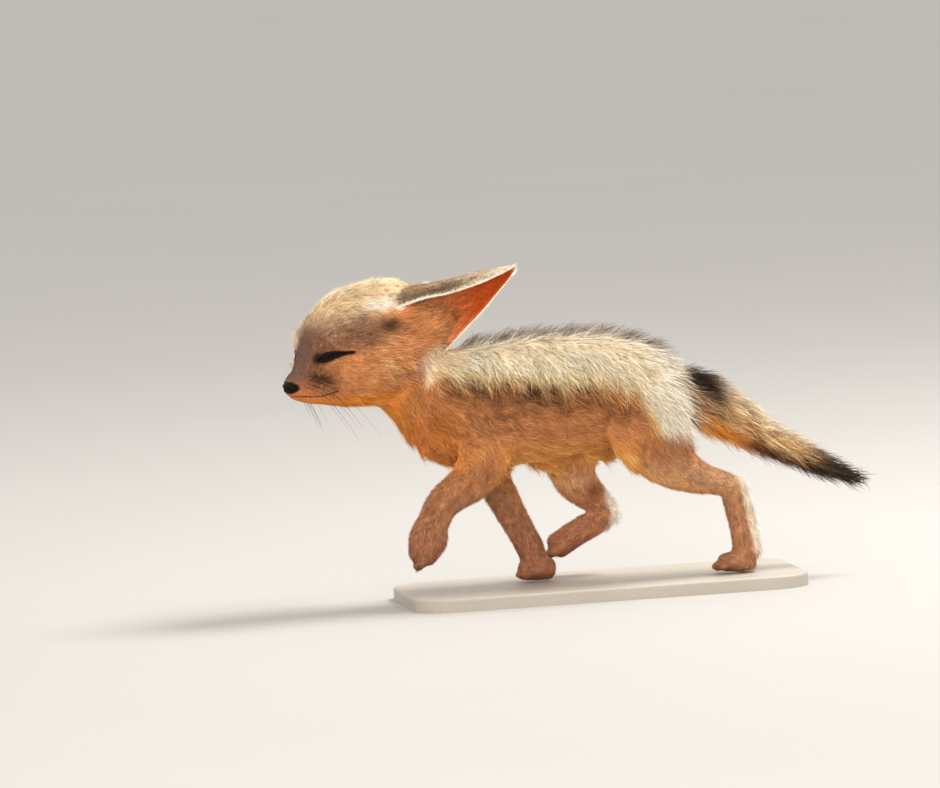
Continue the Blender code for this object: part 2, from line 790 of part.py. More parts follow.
# Left eye, in the head's axes: the corners of the lids, and sizes across the opening
EYE_OUTER = Vector((21.0, 30.0, 0.5))
EYE_INNER = Vector((41.0, 10.0, -2.0))
EYE_HALF_HEIGHT = 2.3
EYE_DEPTH = 2.8
EYE_SUNK = 1.2
LID_RADIUS = 1.05
EYE_STEPS = 8


def eye_path(face, side, lift=0.0, level=0.0):
    """Points along the opening of the lids, on the head's surface or lift above it."""
    outer = on_head(EYE_OUTER.x, EYE_OUTER.y * side, EYE_OUTER.z)
    inner = on_head(EYE_INNER.x, EYE_INNER.y * side, EYE_INNER.z)
    facing = (FORWARD * 0.7 + LEFT * 0.7 * side).normalized()
    path = []
    for k in range(EYE_STEPS + 1):
        t = k / EYE_STEPS
        bow = math.sqrt(max(0.0, 1 - (2 * t - 1) ** 2))
        aim = outer.lerp(inner, t) + CROWN * level * bow * MM
        place, _ = face.hit(aim + facing * 30 * MM, -facing)
        path.append(place + facing * lift * MM)
    return path, facing


def eyeball(face, side, grow=0.0):
    path, _ = eye_path(face, side, lift=-EYE_SUNK)
    radii = []
    for k in range(EYE_STEPS + 1):
        bow = math.sqrt(max(0.0, 1 - (2 * k / EYE_STEPS - 1) ** 2))
        radii.append((EYE_HALF_HEIGHT * bow + grow, EYE_DEPTH * bow + grow))
    ends = (path[0] - path[1]).normalized(), (path[-1] - path[-2]).normalized()
    path[0] = path[0] + ends[0] * grow * MM
    path[-1] = path[-1] + ends[1] * grow * MM
    return tube("eyeball", path, [CROWN] * len(path), radii, sides=10)


def lids(face, side):
    made = []
    for level in (1, -1):
        path, facing = eye_path(face, side, level=level * (EYE_HALF_HEIGHT + 0.9))
        for end, after in ((0, 1), (-1, -2)):
            past = (path[end] - path[after]).normalized() * (1.1 + 0.5 * level)
            path[end] = path[end] + (past - facing * 0.9) * MM
        radii = [(LID_RADIUS, LID_RADIUS)] * len(path)
        made.append(tube("lid", path, [CROWN] * len(path), radii, sides=6))
    return made


# Mouth line on the left half, in the head's axes, from its corner to the front
MOUTH = [
    (27.0, 19.0, -22.0),
    (34.0, 15.0, -25.0),
    (41.0, 12.0, -26.5),
    (47.0, 9.0, -25.5),
    (52.0, 5.0, -23.5),
    (54.0, 0.0, -22.5),
]
MOUTH_RADIUS = 0.7


def mouth_groove(face):
    half = [Vector(p) for p in MOUTH]
    line = half + [Vector((p.x, -p.y, p.z)) for p in reversed(half[:-1])]
    path = []
    for point in between([tuple(p) for p in line], 2):
        place, _ = face.near(on_head(*point))
        path.append(place)
    leaving = [(LEFT * side * 1.6 - FORWARD) * MM for side in (1, -1)]
    path = [path[0] + leaving[0], *path, path[-1] + leaving[1]]
    radii = [(MOUTH_RADIUS, MOUTH_RADIUS)] * len(path)
    return tube("mouth", path, [CROWN] * len(path), radii, sides=6)


NOSE = ((54.4, 0.0, -16.4), (4.5, 5.3, 4.4))
NOSTRIL = ((58.2, 2.3, -16.2), (2.6, 1.25, 0.9))


def nose_leather(grow=0.0):
    centre, radii = NOSE
    return ball("nose", on_head(*centre), radii, (FORWARD, LEFT, CROWN), grow)


def nostril(side):
    (x, y, z), radii = NOSTRIL
    ahead = (FORWARD + LEFT * 0.55 * side).normalized()
    across = CROWN.cross(ahead).normalized()
    return ball("nostril", on_head(x, y * side, z), radii, (ahead, across, ahead.cross(across)))


# Left ear, in the head's axes: five lines from its root to its tip, round its back
EAR_LINES = [
    # medial rim
    [(-10.3, 22.0, 19.5), (-27.2, 29.0, 23.5), (-42.8, 34.0, 24.3), (-57.7, 38.0, 26.4),
     (-72.1, 41.0, 29.4), (-84.0, 43.0, 33.0)],
    # top of the fold
    [(-24.9, 13.0, 31.1), (-38.9, 19.0, 30.7), (-52.5, 25.0, 31.6), (-66.0, 30.0, 33.0),
     (-78.1, 36.0, 33.9), (-87.0, 41.0, 34.0)],
    # back
    [(-36.6, 9.0, 11.1), (-49.5, 12.0, 13.8), (-60.5, 18.0, 17.0), (-70.1, 24.0, 20.4),
     (-80.1, 31.5, 25.7), (-89.0, 38.5, 31.6)],
    # lower back
    [(-41.7, 15.0, -6.0), (-50.2, 19.0, 0.6), (-58.7, 24.0, 6.6), (-67.2, 29.0, 12.6),
     (-76.8, 35.0, 21.0), (-87.6, 40.5, 29.6)],
    # lateral rim
    [(-41.1, 26.0, -10.9), (-47.0, 32.0, -3.7), (-53.5, 37.0, 3.3), (-62.0, 40.0, 10.4),
     (-72.0, 42.0, 19.1), (-84.0, 43.0, 28.6)],
]
EAR_THICKNESS = 2.0
EAR_ROWS = 2
EAR_COLUMNS = 2
RIGHT_EAR_ROOT = Vector((-14.0, -20.0, 18.0))
RIGHT_EAR_OUTWARD = 10.0  # degrees that the far ear is swept further from the head
RIGHT_EAR_LOWER = 11.0  # degrees that it hangs lower


def ear_point(point, side):
    point = Vector(point)
    if side < 0:
        point.y = -point.y
        turn = Matrix.Rotation(math.radians(RIGHT_EAR_OUTWARD), 3, "Z")
        drop = Matrix.Rotation(math.radians(-RIGHT_EAR_LOWER), 3, "Y")
        point = RIGHT_EAR_ROOT + drop @ turn @ (point - RIGHT_EAR_ROOT)
    return on_head(*point)


def ear(side):
    """A cupped leaf: a sheet through the five lines, thickened towards its hollow side."""
    lines = [between(line, EAR_ROWS) for line in EAR_LINES]
    rows = []
    for i in range(len(lines[0])):
        row = between([line[i] for line in lines], EAR_COLUMNS)
        rows.append([ear_point(p, side) for p in row])
    tall, wide = len(rows), len(rows[0])
    bm = bmesh.new()
    outer = [[bm.verts.new(p) for p in row] for row in rows]
    inner = []
    for i in range(tall):
        up, down = rows[min(i + 1, tall - 1)], rows[max(i - 1, 0)]
        normals = []
        for j in range(wide):
            along = up[j] - down[j]
            across = rows[i][min(j + 1, wide - 1)] - rows[i][max(j - 1, 0)]
            normals.append(along.cross(across).normalized())
        hollow = (rows[i][0] + rows[i][-1]) / 2 - rows[i][wide // 2]
        inwards = 1.0 if normals[wide // 2].dot(hollow) > 0 else -1.0
        depth = EAR_THICKNESS * (1.0 - 0.55 * i / tall) * inwards * MM
        inner.append([bm.verts.new(p + n * depth) for p, n in zip(rows[i], normals)])
    for i in range(tall - 1):
        for j in range(wide - 1):
            bm.faces.new((outer[i][j], outer[i][j + 1], outer[i + 1][j + 1], outer[i + 1][j]))
            bm.faces.new((inner[i][j], inner[i + 1][j], inner[i + 1][j + 1], inner[i][j + 1]))
        for j in (0, wide - 1):
            bm.faces.new((outer[i][j], outer[i + 1][j], inner[i + 1][j], inner[i][j]))
    for i in (0, tall - 1):
        for j in range(wide - 1):
            bm.faces.new((outer[i][j], inner[i][j], inner[i][j + 1], outer[i][j + 1]))
    return object_of("ear", mesh_from("ear", bm))


def grown(obj, distance):
    """A copy of obj with its surface moved outwards."""
    made = copy_of(obj, "grown")
    bm = bmesh.new()
    bm.from_mesh(made.data)
    bm.normal_update()
    for vert in bm.verts:
        vert.co += vert.normal * vert.calc_shell_factor() * distance * MM
    bm.to_mesh(made.data)
    bm.free()
    return made


def carve(obj, cutters):
    for cutter in cutters:
        boolean(obj, cutter, "DIFFERENCE")
    remove(*cutters)
    return keep_largest(obj)


def face_details(head, face):
    """Gives the head its lids, mouth line and sockets. Returns the eyes and the nose."""
    eyes = {side: eyeball(face, side) for side in (1, -1)}
    for side in (1, -1):
        for lid in lids(face, side):
            boolean(head, lid, "UNION")
            remove(lid)
    sockets = [eyeball(face, side, GAP) for side in (1, -1)]
    carve(head, [mouth_groove(face), nose_leather(GAP), *sockets])
    nose = carve(nose_leather(), [nostril(1), nostril(-1)])
    return eyes, nose


def main():
    stand_base()
    whole = body_skin()
    face = Surface(whole)
    add_locks(whole)
    for tag, leg in LEGS.items():
        rest = split_off(whole, tag, leg["root"])
        upper = tag.replace("foreleg", "upper_arm").replace("hindleg", "thigh")
        lower = tag.replace("foreleg", "forearm").replace("hindleg", "shank")
        foot = tag.replace("foreleg", "forepaw").replace("hindleg", "hindpaw")
        for name, (point, away) in zip((upper, lower), leg["cuts"]):
            back = tuple(-v for v in away)
            further = split_off(rest, "further", [(point, back)])
            publish(rest, name, SAND)
            rest = further
        publish(rest, foot, SAND)
    tail = split_off(whole, "tail", [turned(TAIL_ROOT)])
    for name, cut in (("tail_base", TAIL_MIDDLE), ("tail_middle", TAIL_END)):
        further = split_off(tail, "further", [turned(cut)])
        publish(tail, name, SAND if name == "tail_middle" else DARK)
        tail = further
    publish(tail, "tail_tip", DARK)
    neck = split_off(whole, "neck", [turned(NECK_ROOT)])
    head = split_off(neck, "head", [turned(HEAD_ROOT)])
    loin = split_off(whole, "loin", [turned(LOIN)])
    for side, name in ((1, "ear_left"), (-1, "ear_right")):
        made = carve(ear(side), [grown(p, GAP) for p in (head, neck, whole)])
        publish(made, name, SKIN_PINK)
    eyes, nose = face_details(head, face)
    publish(head, "head", SAND)
    publish(neck, "neck", CREAM)
    publish(whole, "torso_front", CREAM)
    publish(loin, "torso_rear", CREAM)
    publish(nose, "nose", NOSE_BLACK)
    publish(eyes[1], "eye_left", EYE_BLACK)
    publish(eyes[-1], "eye_right", EYE_BLACK)


def turned(cut):
    """The plane of a cut, seen from the piece beyond it."""
    point, away = cut
    return point, tuple(-v for v in away)


main()
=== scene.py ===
"""Looks of the fennec fox kit: one skin, its coat, eyes, nose, claws, whiskers and the base.

Sizes are millimetres above the paws' floor and turned to metres by MM. The head has its own
axes: forward, left and up.
"""

import math

import bmesh
import bpy
import numpy as np
from mathutils import Matrix, Vector
from mathutils.bvhtree import BVHTree
from mathutils.kdtree import KDTree


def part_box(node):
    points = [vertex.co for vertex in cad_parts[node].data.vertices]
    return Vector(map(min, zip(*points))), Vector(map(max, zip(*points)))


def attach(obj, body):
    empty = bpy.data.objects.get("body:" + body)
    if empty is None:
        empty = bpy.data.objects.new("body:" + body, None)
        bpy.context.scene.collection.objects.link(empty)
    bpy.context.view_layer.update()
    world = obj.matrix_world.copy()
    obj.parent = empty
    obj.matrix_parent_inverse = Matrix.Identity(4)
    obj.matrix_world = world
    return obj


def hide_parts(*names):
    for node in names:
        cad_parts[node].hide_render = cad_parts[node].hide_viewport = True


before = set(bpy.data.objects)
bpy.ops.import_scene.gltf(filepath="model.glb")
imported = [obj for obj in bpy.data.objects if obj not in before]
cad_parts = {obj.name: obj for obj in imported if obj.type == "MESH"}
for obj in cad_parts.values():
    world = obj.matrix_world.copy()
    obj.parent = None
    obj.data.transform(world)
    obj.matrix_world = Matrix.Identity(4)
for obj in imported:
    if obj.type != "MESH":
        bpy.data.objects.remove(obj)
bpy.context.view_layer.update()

MM = 0.001
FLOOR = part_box("stand_base")[1].z / MM + 0.3
DICE = np.random.default_rng(11)

# Camera: the photo's scale and viewing angle
PHOTO_WIDTH = 940
PHOTO_HEIGHT = 788
PHOTO_SCALE = 0.60  # millimetres a pixel at the animal
ORIGIN_PIXEL = (600.0, 578.3)  # where the floor's origin lies in the photo
AZIMUTH = -10.0
ELEVATION = 5.0
ROLL = 3.0
CAMERA_DISTANCE = 6.0  # metres
SENSOR = 36.0

# Head
HEAD_CENTRE = Vector((-138.0, -8.0, 151.0 + FLOOR))
HEAD_TURN = 22.0
HEAD_PITCH = 5.0
HEAD_STATIONS = [
    # distance forward, level of the widest point, half width, crown, throat
    (-37, 2, 25, 29, -24),
    (-28, -3, 31, 36, -33),
    (-16, -9, 35, 39, -36.5),
    (-2, -12, 36.5, 38, -39),
    (11, -13.5, 35, 35.5, -37.5),
    (21, -11.5, 31.5, 31.5, -35.5),
    (29, -10, 27, 25, -33),
    (35.5, -10, 20.5, 15.5, -31),
    (41.5, -14, 14.5, 3, -29.5),
    (47, -15.5, 10.5, -5, -27.5),
    (52, -16, 8, -8.5, -25),
    (55, -16.5, 5.5, -11.5, -22),
]

# Body, limbs and tail: x, y, z of the middle, half width, half height above and below
NECK = [
    (-142, -8, 150, 31, 28, 28),
    (-126, -5, 140, 32, 29, 28),
    (-108, -2, 126, 32.5, 31, 28.5),
    (-92, 0, 114, 32.5, 33, 36),
]
TORSO = [
    (-101, 0, 104, 27, 30, 31),
    (-90, 0, 105, 31, 39.5, 37),
    (-76, 0, 106, 32.5, 42.5, 38.5),
    (-56, 0, 107, 34, 43, 40.5),
    (-34, 0, 108, 34.5, 43.5, 39.5),
    (-12, 0, 109, 34, 42.5, 37.5),
    (8, 0, 110, 33, 40, 36.5),
    (26, 0, 110, 31.5, 35, 33.5),
    (40, 0, 108, 28, 28.5, 27.5),
    (52, 0, 105, 21, 20, 20),
]
TAIL = [
    (46, 0, 112, 16, 17),
    (60, 0, 106, 16.5, 18.5),
    (73, 0.5, 98, 16, 18.5),
    (88, 1, 88.5, 14.5, 16),
    (106, 2, 77.5, 12.5, 13.5),
    (124, 3, 67.5, 11, 12),
    (142, 4, 58, 9.5, 10),
    (157, 4.5, 51, 6.5, 6.5),
]
FORELEG_LEFT = [
    (-71, -17, 112, 13, 20),
    (-69, -20, 95, 13, 19.5),
    (-71, -23, 78, 12, 17),
    (-79, -25, 67.5, 11, 14.5),
    (-89, -26, 61, 10.5, 12.5),
    (-98, -27, 54, 9.5, 11),
    (-104.5, -27, 43, 9, 10.5),
]
FOREPAW_LEFT = [
    (-105, -27, 42, 9, 10.5),
    (-108, -27, 33, 10, 12),
    (-111.5, -27, 24.5, 9.5, 9.5),
]
FORELEG_RIGHT = [
    (-72, 17, 108, 13, 20),
    (-66, 18, 86, 12, 16.5),
    (-60, 17, 66, 11, 12.5),
    (-52.5, 15, 48, 9.5, 10.5),
    (-45, 13, 32, 9, 9.5),
    (-39.5, 12, 20, 9, 9.5),
    (-37, 11, 11, 9, 9),
]
HINDLEG_LEFT = [
    (25, -15, 114, 14, 27),
    (28, -19, 97, 14.5, 26.5),
    (34, -21, 80, 14, 23),
    (45, -21.5, 67, 12, 16),
    (57, -21, 59.5, 10, 11.5),
    (69, -20.5, 55.5, 8.5, 9),
    (78, -20, 52.5, 8, 8),
]
METATARSUS_LEFT = [
    (79, -20, 53, 8, 8.5),
    (82.5, -20, 39, 7.5, 8.5),
    (85, -20, 25, 7.5, 8.5),
    (86.5, -20, 12, 8.5, 9),
]
HINDLEG_RIGHT = [
    (22, 15, 112, 14, 25),
    (8, 20, 94, 14, 23),
    (-8, 23, 79, 13, 23.5),
    (-9.5, 25, 65, 11.5, 16.5),
    (-4, 27, 54, 10, 13),
    (4, 28.5, 46, 8.5, 10.5),
    (11, 29.5, 38.5, 7.5, 8.5),
]
METATARSUS_RIGHT = [
    (13, 29.5, 37.5, 7.5, 8),
    (3, 30, 30.5, 7.5, 8.5),
    (-9, 31, 24, 7.5, 8.5),
    (-19, 31.5, 18, 8, 8.5),
]
FOREPAW_RIGHT = [
    (-29, 10, 7.5, 7.6, 7.5),
    (-36.8, 9.5, 7.5, 9.5, 7.5),
    (-44.5, 9, 6.8, 9, 6.4),
]
HINDPAW_LEFT = [
    (88, -20, 7, 7.2, 7),
    (80, -20, 7, 9, 7),
    (72, -20, 6.3, 8.5, 5.9),
]

# Paws: the middle of the knuckles, the way they point and their size, which the toes follow
PAWS = [
    ((-44, 9, 4.8), (-1, 0, -0.1), 4.2),
    ((70.5, -20, 4.6), (-1, 0, -0.1), 4.2),
    ((-113.5, -27, 20), (-0.45, 0, -0.9), 4.2),
    ((-22, 31.5, 14.5), (-0.9, 0, -0.45), 4),
]
TOE_SPACING = 0.92  # this and the next three are shares of the paw's size
TOE_LEAD = 0.5  # how far the middle toes stand ahead
TOE_RADIUS = 0.72
TOE_LENGTH = 1.15

# Depth of the coat that lies over the skin
TORSO_COAT = 6.0
NECK_COAT = 4.5
TAIL_COAT = 5.0
LEG_COAT = 1.4
PAW_COAT = 0.8
HEAD_COAT_BACK = 3.2
HEAD_COAT_FRONT = 0.8
HEAD_COAT_ENDS = (-2.0, 38.0)  # where the head's coat begins and ends to thin, forward
LEAST_FLESH = 0.4  # share of a station's size that the coat always leaves

# How the lofts are built, fused into one skin and softened where they meet
OVAL_SIDES = 28
CAP_ANGLES = (30.0, 60.0)
VOXEL = 1.15
SKIN_SMOOTHING = 6
SOFTENING = 0.6
CREASE_ROUNDS = 60
EAR_CREASE_ROUNDS = 70
BODY_CREASE = (0.985, 0.75)  # from none to all of the softening, as the nearest bone's share
EAR_CREASE_REACH = (19, 12)
RIM_SPARED = (2.0, 5.5)
HEAD_CAPS = (0.45, 0.3)
GROIN_CENTRE = (-25.0, 13.0, 74.0)
GROIN_RADII = (14.0, 8.0, 8.0)

# Lofts of the skin but for the head: stations, coat and how far each end bulges
TRUNK_LOFTS = [
    (TORSO, TORSO_COAT, 0.5, 0.6),
    (NECK, NECK_COAT, 0.3, 0.3),
    (TAIL, TAIL_COAT, 0.3, 1.6),
    (FORELEG_LEFT, LEG_COAT),
    (FOREPAW_LEFT, PAW_COAT),
    (FORELEG_RIGHT, LEG_COAT),
    (HINDLEG_LEFT, LEG_COAT),
    (METATARSUS_LEFT, PAW_COAT),
    (HINDLEG_RIGHT, LEG_COAT),
    (METATARSUS_RIGHT, PAW_COAT),
    (FOREPAW_RIGHT, PAW_COAT, 0.6, 0.5),
    (HINDPAW_LEFT, PAW_COAT, 0.6, 0.5),
]

# Left ear, in the head's axes: five lines from its root to its tip, round its back
EAR_LINES = [
    # medial rim
    [(-10.3, 22, 19.5), (-27.2, 29, 23.5), (-42.8, 34, 24.3), (-57.7, 38, 26.4),
     (-72.1, 41, 29.4), (-84, 43, 33)],
    # top of the fold
    [(-24.9, 13, 31.1), (-38.9, 19, 30.7), (-52.5, 25, 31.6), (-66, 30, 33),
     (-78.1, 36, 33.9), (-87, 41, 34)],
    # back
    [(-36.6, 9, 11.1), (-49.5, 12, 13.8), (-60.5, 18, 17), (-70.1, 24, 20.4),
     (-80.1, 31.5, 25.7), (-89, 38.5, 31.6)],
    # lower back
    [(-41.7, 15, -6), (-50.2, 19, 0.6), (-58.7, 24, 6.6), (-67.2, 29, 12.6),
     (-76.8, 35, 21), (-87.6, 40.5, 29.6)],
    # lateral rim
    [(-41.1, 26, -10.9), (-47, 32, -3.7), (-53.5, 37, 3.3), (-62, 40, 10.4),
     (-72, 42, 19.1), (-84, 43, 28.6)],
]
EAR_THICKNESS = 1.8
EAR_TIP_THINNING = 0.6
EAR_ROOT_REACH = 0.45  # how far the root runs on into the head, in steps of its lines
EAR_ROWS = 6
EAR_COLUMNS = 6
EAR_REACH = 2.6  # how near to its sheet a point counts as on the ear
EARS_BEHIND = -8  # the ears lie behind this and further out than the next
EARS_ASIDE = 4
RIGHT_EAR_ROOT = Vector((-14.0, -20.0, 18.0))
RIGHT_EAR_OUTWARD = 10.0  # degrees, as the next
RIGHT_EAR_LOWER = 11.0
EAR_ROOT_CENTRE = (-36.0, 22.0, 4.0)
EAR_ROOT_RADII = (19.0, 7.0, 14.0)
EAR_CREASE = (-40.0, 26.0, 5.0)

# Eyes, mouth and nose, in the head's axes
EYE_OUTER = Vector((23.0, 28.0, 0.2))
EYE_INNER = Vector((39.2, 11.8, -2.2))
EYE_HALF_HEIGHT = 1.1
EYE_DEPTH = 2.8
EYE_SUNK = 1.7
SOCKET_GAP = 0.12
LID_RADIUS = 0.7
LID_RISE = 0.55
LID_LIFT = -0.15
FACE_RAY = 30  # how far off the face its rays start
EYE_STEPS = 22
EYE_ARCH = 1.3
BROW_CENTRE = (26.5, 14.0, 3.5)
BROW_RADII = (11.0, 9.7, 13.3)
MOUTH = [
    (30.5, 17, -20.8),
    (35, 14.5, -22.8),
    (41, 12, -25.5),
    (47, 9, -24.8),
    (52, 5, -23),
    (54, 0, -22.2),
]
MOUTH_RADIUS = 0.45
WHISKER_ROW = 2.3  # from one dark row of whisker roots to the next
PATCH_TILT = np.array(((0.93, 0.37), (-0.37, 0.93)))  # along and across the whisker patch
NOSE_CENTRE = (51.9, 0.0, -16.9)
NOSE_RADII = (6.0, 5.6, 4.2)

# Colours of the coat, as linear light
WHITE = (0.96, 0.91, 0.80)
CREAM = (0.97, 0.84, 0.56)
PALE_BUFF = (0.96, 0.87, 0.68)
GOLD = (0.76, 0.50, 0.22)
FLANK = (0.68, 0.30, 0.125)
# painted bounce light: the orange glow of the underside, over the belly and the legs' lower
# sides
BOUNCE_ORANGE = (0.92, 0.42, 0.12)
CHEST = (0.76, 0.29, 0.075)
# painted bounce light: the orange glow under the jaw
THROAT_GLOW = (0.92, 0.31, 0.04)
CHEEK = (0.61, 0.26, 0.10)
PALE_CHEEK = (0.80, 0.46, 0.23)
CAP = (0.70, 0.555, 0.36)
BROWN = (0.20, 0.085, 0.04)
RED_BROWN = (0.24, 0.06, 0.02)
BLACK = (0.020, 0.013, 0.010)
JET = (0.006, 0.004, 0.003)
LIP_LINE = (0.10, 0.030, 0.018)
FLEWS = (0.30, 0.12, 0.10)
FACE_GREY = (0.235, 0.11, 0.07)
RIDGE_GREY = (0.17, 0.10, 0.085)
LEG_TAN = (0.46, 0.22, 0.12)
THIGH_TAN = (0.53, 0.235, 0.105)
PAW_TAN = (0.39, 0.175, 0.10)
EAR_ORANGE = (0.92, 0.34, 0.12)
# deep red of the ear's hollow: painted light shining through the ear; the lips take it as their
# own colour
EAR_GLOW_AND_LIP_RED = (0.73, 0.13, 0.025)
EAR_BACK = (0.36, 0.27, 0.18)
TAIL_ORANGE = (0.85, 0.33, 0.05)
TAIL_CREAM = (0.74, 0.50, 0.26)
# painted light: the far hind leg's colours are brightened by this share, for bounce light on it
FAR_LEG_LIGHT = 1.25
FUR_SHADE = np.array((0.92, 0.86, 0.78))  # how much darker the roots are than the tips

# The way the coat lies on the mantle's rear, the chest, the mantle's front edge and the neck
MANTLE_REAR_WAY = (0.8, 0.0, -0.75)
CHEST_WAY = (0.55, 0.0, -0.75)
RIM_WAY = (-0.6, 0.0, -0.45)
NECK_DROP = (0.2, 0.0, -0.25)
BONE_SHARPNESS = 5.0
POINTS_AT_ONCE = 20000

# Length, and the angle at which it leaves the skin, of each part's hair
TORSO_HAIR = (8.0, 16.0)
MANTLE_HAIR = (13.0, 20.0)
NECK_HAIR = (8.5, 16.0)
TAIL_HAIR = (12.0, 24.0)
LEG_HAIR = (3.8, 22.0)
PAW_HAIR = (2.2, 14.0)
MUZZLE_HAIR = (1.5, 10.0)
CHEEK_HAIR = (9.0, 13.0)
RUFF_HAIR = (8.0, 48.0)
CROWN_HAIR = (5.6, 26.0)
BROW_HAIR = (4.8, 38.0)
FAR_BROW_HAIR = (8.0, 50.0)
LID_HAIR = (1.4, 12.0)
EAR_HAIR = (2.6, 10.0)
EAR_ROOT_HAIR = (8.0, 14.0)
EAR_JOINT_HAIR = (9.0, 9.0)
RIM_HAIR = (2.6, 12.0)
HEEL_EXTRA = (3.0, 10.0)
HEELS = {"hindleg_left": (80, 86), "hindleg_right": (9, 14)}  # where the heel's hair begins
EYE_CLEAR = 1.3  # how far the hair keeps off the slit, and off the mouth
MOUTH_CLEAR = 0.65
SOLE_LEVEL = 0.4  # hardly any hair grows below it

# One tuft: how far along each ring lies and its share of the width
SHORT_RINGS = ((0.0, 0.85), (0.5, 0.85))
LONG_RINGS = ((0.0, 0.7), (0.35, 1.0), (0.72, 0.65))
PATCH = 0.003  # size of a tuft's patch in the atlas
ROOT_SUNK = 0.5
PIECE_TRIANGLES = 190000
TUFT_BOW = 0.45  # how much of its lift a tuft loses by its tip
TUFT_RIDGE = 0.35  # height of its ridge, as a share of its width
LENGTH_SPREAD = (0.7, 1.2)
LIFT_SPREAD = (0.6, 1.5)
CURL_SPREAD = 0.07

# Layers: count, share of the part's hair length and lift, width in millimetres and wider by
# length, tufts a clump, the pull to its middle, its sway and each tuft's own, spread of shade
# and lightness of tips
UNDERCOAT = {
    "count": 66000, "length": 0.88, "lift": 0.75, "width": 0.20, "wider": 0.036, "clump": 10,
    "pull": 0.15, "sway": 0.12, "frizz": 0.12, "shade": 0.12, "tip": 1.05, "seed": 61,
}
TOPCOAT = {
    "count": 58000, "length": 1.08, "lift": 1.25, "width": 0.13, "wider": 0.015, "clump": 8,
    "pull": 0.24, "sway": 0.18, "frizz": 0.14, "shade": 0.20, "tip": 1.2, "seed": 63,
}
GUARD_HAIR = {
    "count": 9000, "length": 1.3, "lift": 1.35, "width": 0.12, "wider": 0.017, "clump": 5,
    "pull": 0.2, "sway": 0.14, "frizz": 0.15, "shade": 0.18, "tip": 1.15, "seed": 71,
}

# Each part's place in the unwrap: u, v, width, height
ATLAS = {
    "torso": (0.01, 0.52, 0.46, 0.46),
    "head": (0.50, 0.52, 0.48, 0.46),
    "neck": (0.01, 0.36, 0.46, 0.14),
    "tail": (0.01, 0.19, 0.46, 0.15),
    "foreleg_left": (0.50, 0.36, 0.23, 0.14),
    "foreleg_right": (0.75, 0.36, 0.23, 0.14),
    "hindleg_left": (0.50, 0.20, 0.23, 0.14),
    "hindleg_right": (0.75, 0.20, 0.23, 0.14),
    "ear_left_back": (0.01, 0.01, 0.22, 0.15),
    "ear_left_hollow": (0.26, 0.01, 0.22, 0.15),
    "ear_right_back": (0.51, 0.01, 0.22, 0.15),
    "ear_right_hollow": (0.76, 0.01, 0.22, 0.15),
}
EAR_WINDOW = (-95, 90, -25, 65)  # the ears' start and reach, forward and up

# Lashes, claws and whiskers
LASHES_A_LID = 90
LASH_WIDTH = 0.34
LASH_LEVEL = 1.2
LASH_LIFT = 0.2
CLAW_LENGTH = 2.3
CLAW_RADIUS = 0.5
CLAW_DROP = 1.2
CLAW_STEPS = 6
WHISKERS_A_SIDE = 12
WHISKERS_START = (47, 10, -13.5)
WHISKER_LENGTH = 36.0
WHISKER_RADIUS = 0.17
WHISKER_SAG = 0.62
WHISKER_STEPS = 8

# Tones of the materials, from dark to light, and the stage
COAT_TONE = (0.80, 0.78, 0.76)
NOSE_TONES = ((0.003, 0.002, 0.002), (0.009, 0.006, 0.005))
EYE_TONES = ((0.004, 0.003, 0.003), (0.010, 0.007, 0.006))
CLAW_TONES = ((0.03, 0.022, 0.018), (0.08, 0.06, 0.045))
WHISKER_TONES = ((0.02, 0.012, 0.008), (0.10, 0.05, 0.03))
BASE_TONES = ((0.38, 0.34, 0.29), (0.43, 0.39, 0.34))
BASE_SPECK = (0.84, 0.83, 0.80)
PAPER_TONES = ((0.40, 0.39, 0.375), (0.41, 0.40, 0.385))
FLOOR_HALF = 25.0  # metres
LIGHT_AIM = (-0.01, 0.0, 0.10)
SKY_TINT = (1.0, 0.97, 0.93, 1)
SKY_STRENGTH = 1.15

# Lights: name, place, size, power and colour
LIGHTS = [
    ("key", (0.75, 0.15, 1.45), 0.7, 32.0, (1.0, 0.97, 0.92)),
    ("fill", (-0.6, -2.0, 0.6), 1.6, 30.0, (1.0, 0.93, 0.84)),
]

# The two sides, and the nodes that the skin replaces
SIDES = ((1, "left"), (-1, "right"))
FLESH = [
    "head", "neck", "torso_front", "torso_rear", "ear_left", "ear_right",
    "upper_arm_left", "upper_arm_right", "forearm_left", "forearm_right",
    "forepaw_left", "forepaw_right", "thigh_left", "thigh_right",
    "shank_left", "shank_right", "hindpaw_left", "hindpaw_right",
    "tail_base", "tail_middle", "tail_tip",
]


# Places and numbers


def metres(x, y, z):
    return Vector((x, y, z + FLOOR)) * MM


def above_floor(places):
    """Places in metres, as millimetres above the paws' floor."""
    return np.array(places) / MM - np.array((0, 0, FLOOR))


def head_axes():
    turn, pitch = math.radians(HEAD_TURN), math.radians(HEAD_PITCH)
    level = math.cos(pitch)
    forward = Vector((-level * math.cos(turn), -level * math.sin(turn), -math.sin(pitch)))
    left = Vector((math.sin(turn), -math.cos(turn), 0.0))
    return forward, left, forward.cross(left)


HEAD_AXES = head_axes()
FORWARD, LEFT, CROWN = HEAD_AXES
HEAD_MATRIX = np.array(HEAD_AXES)
UPRIGHT = (Vector((1, 0, 0)), Vector((0, 1, 0)), Vector((0, 0, 1)))


def on_head(x, y, z):
    return (HEAD_CENTRE + FORWARD * x + LEFT * y + CROWN * z) * MM


def to_head(points):
    centre = np.array(HEAD_CENTRE) - np.array((0, 0, FLOOR))
    return (points - centre) @ HEAD_MATRIX.T


def smooth(low, high, value):
    """A soft step from 0 at low to 1 at high, which may be the lower of the two."""
    t = np.clip((value - low) / (high - low), 0.0, 1.0)
    return t * t * (3 - 2 * t)


def unit(vectors):
    return vectors / np.maximum(np.linalg.norm(vectors, axis=-1, keepdims=True), 1e-9)


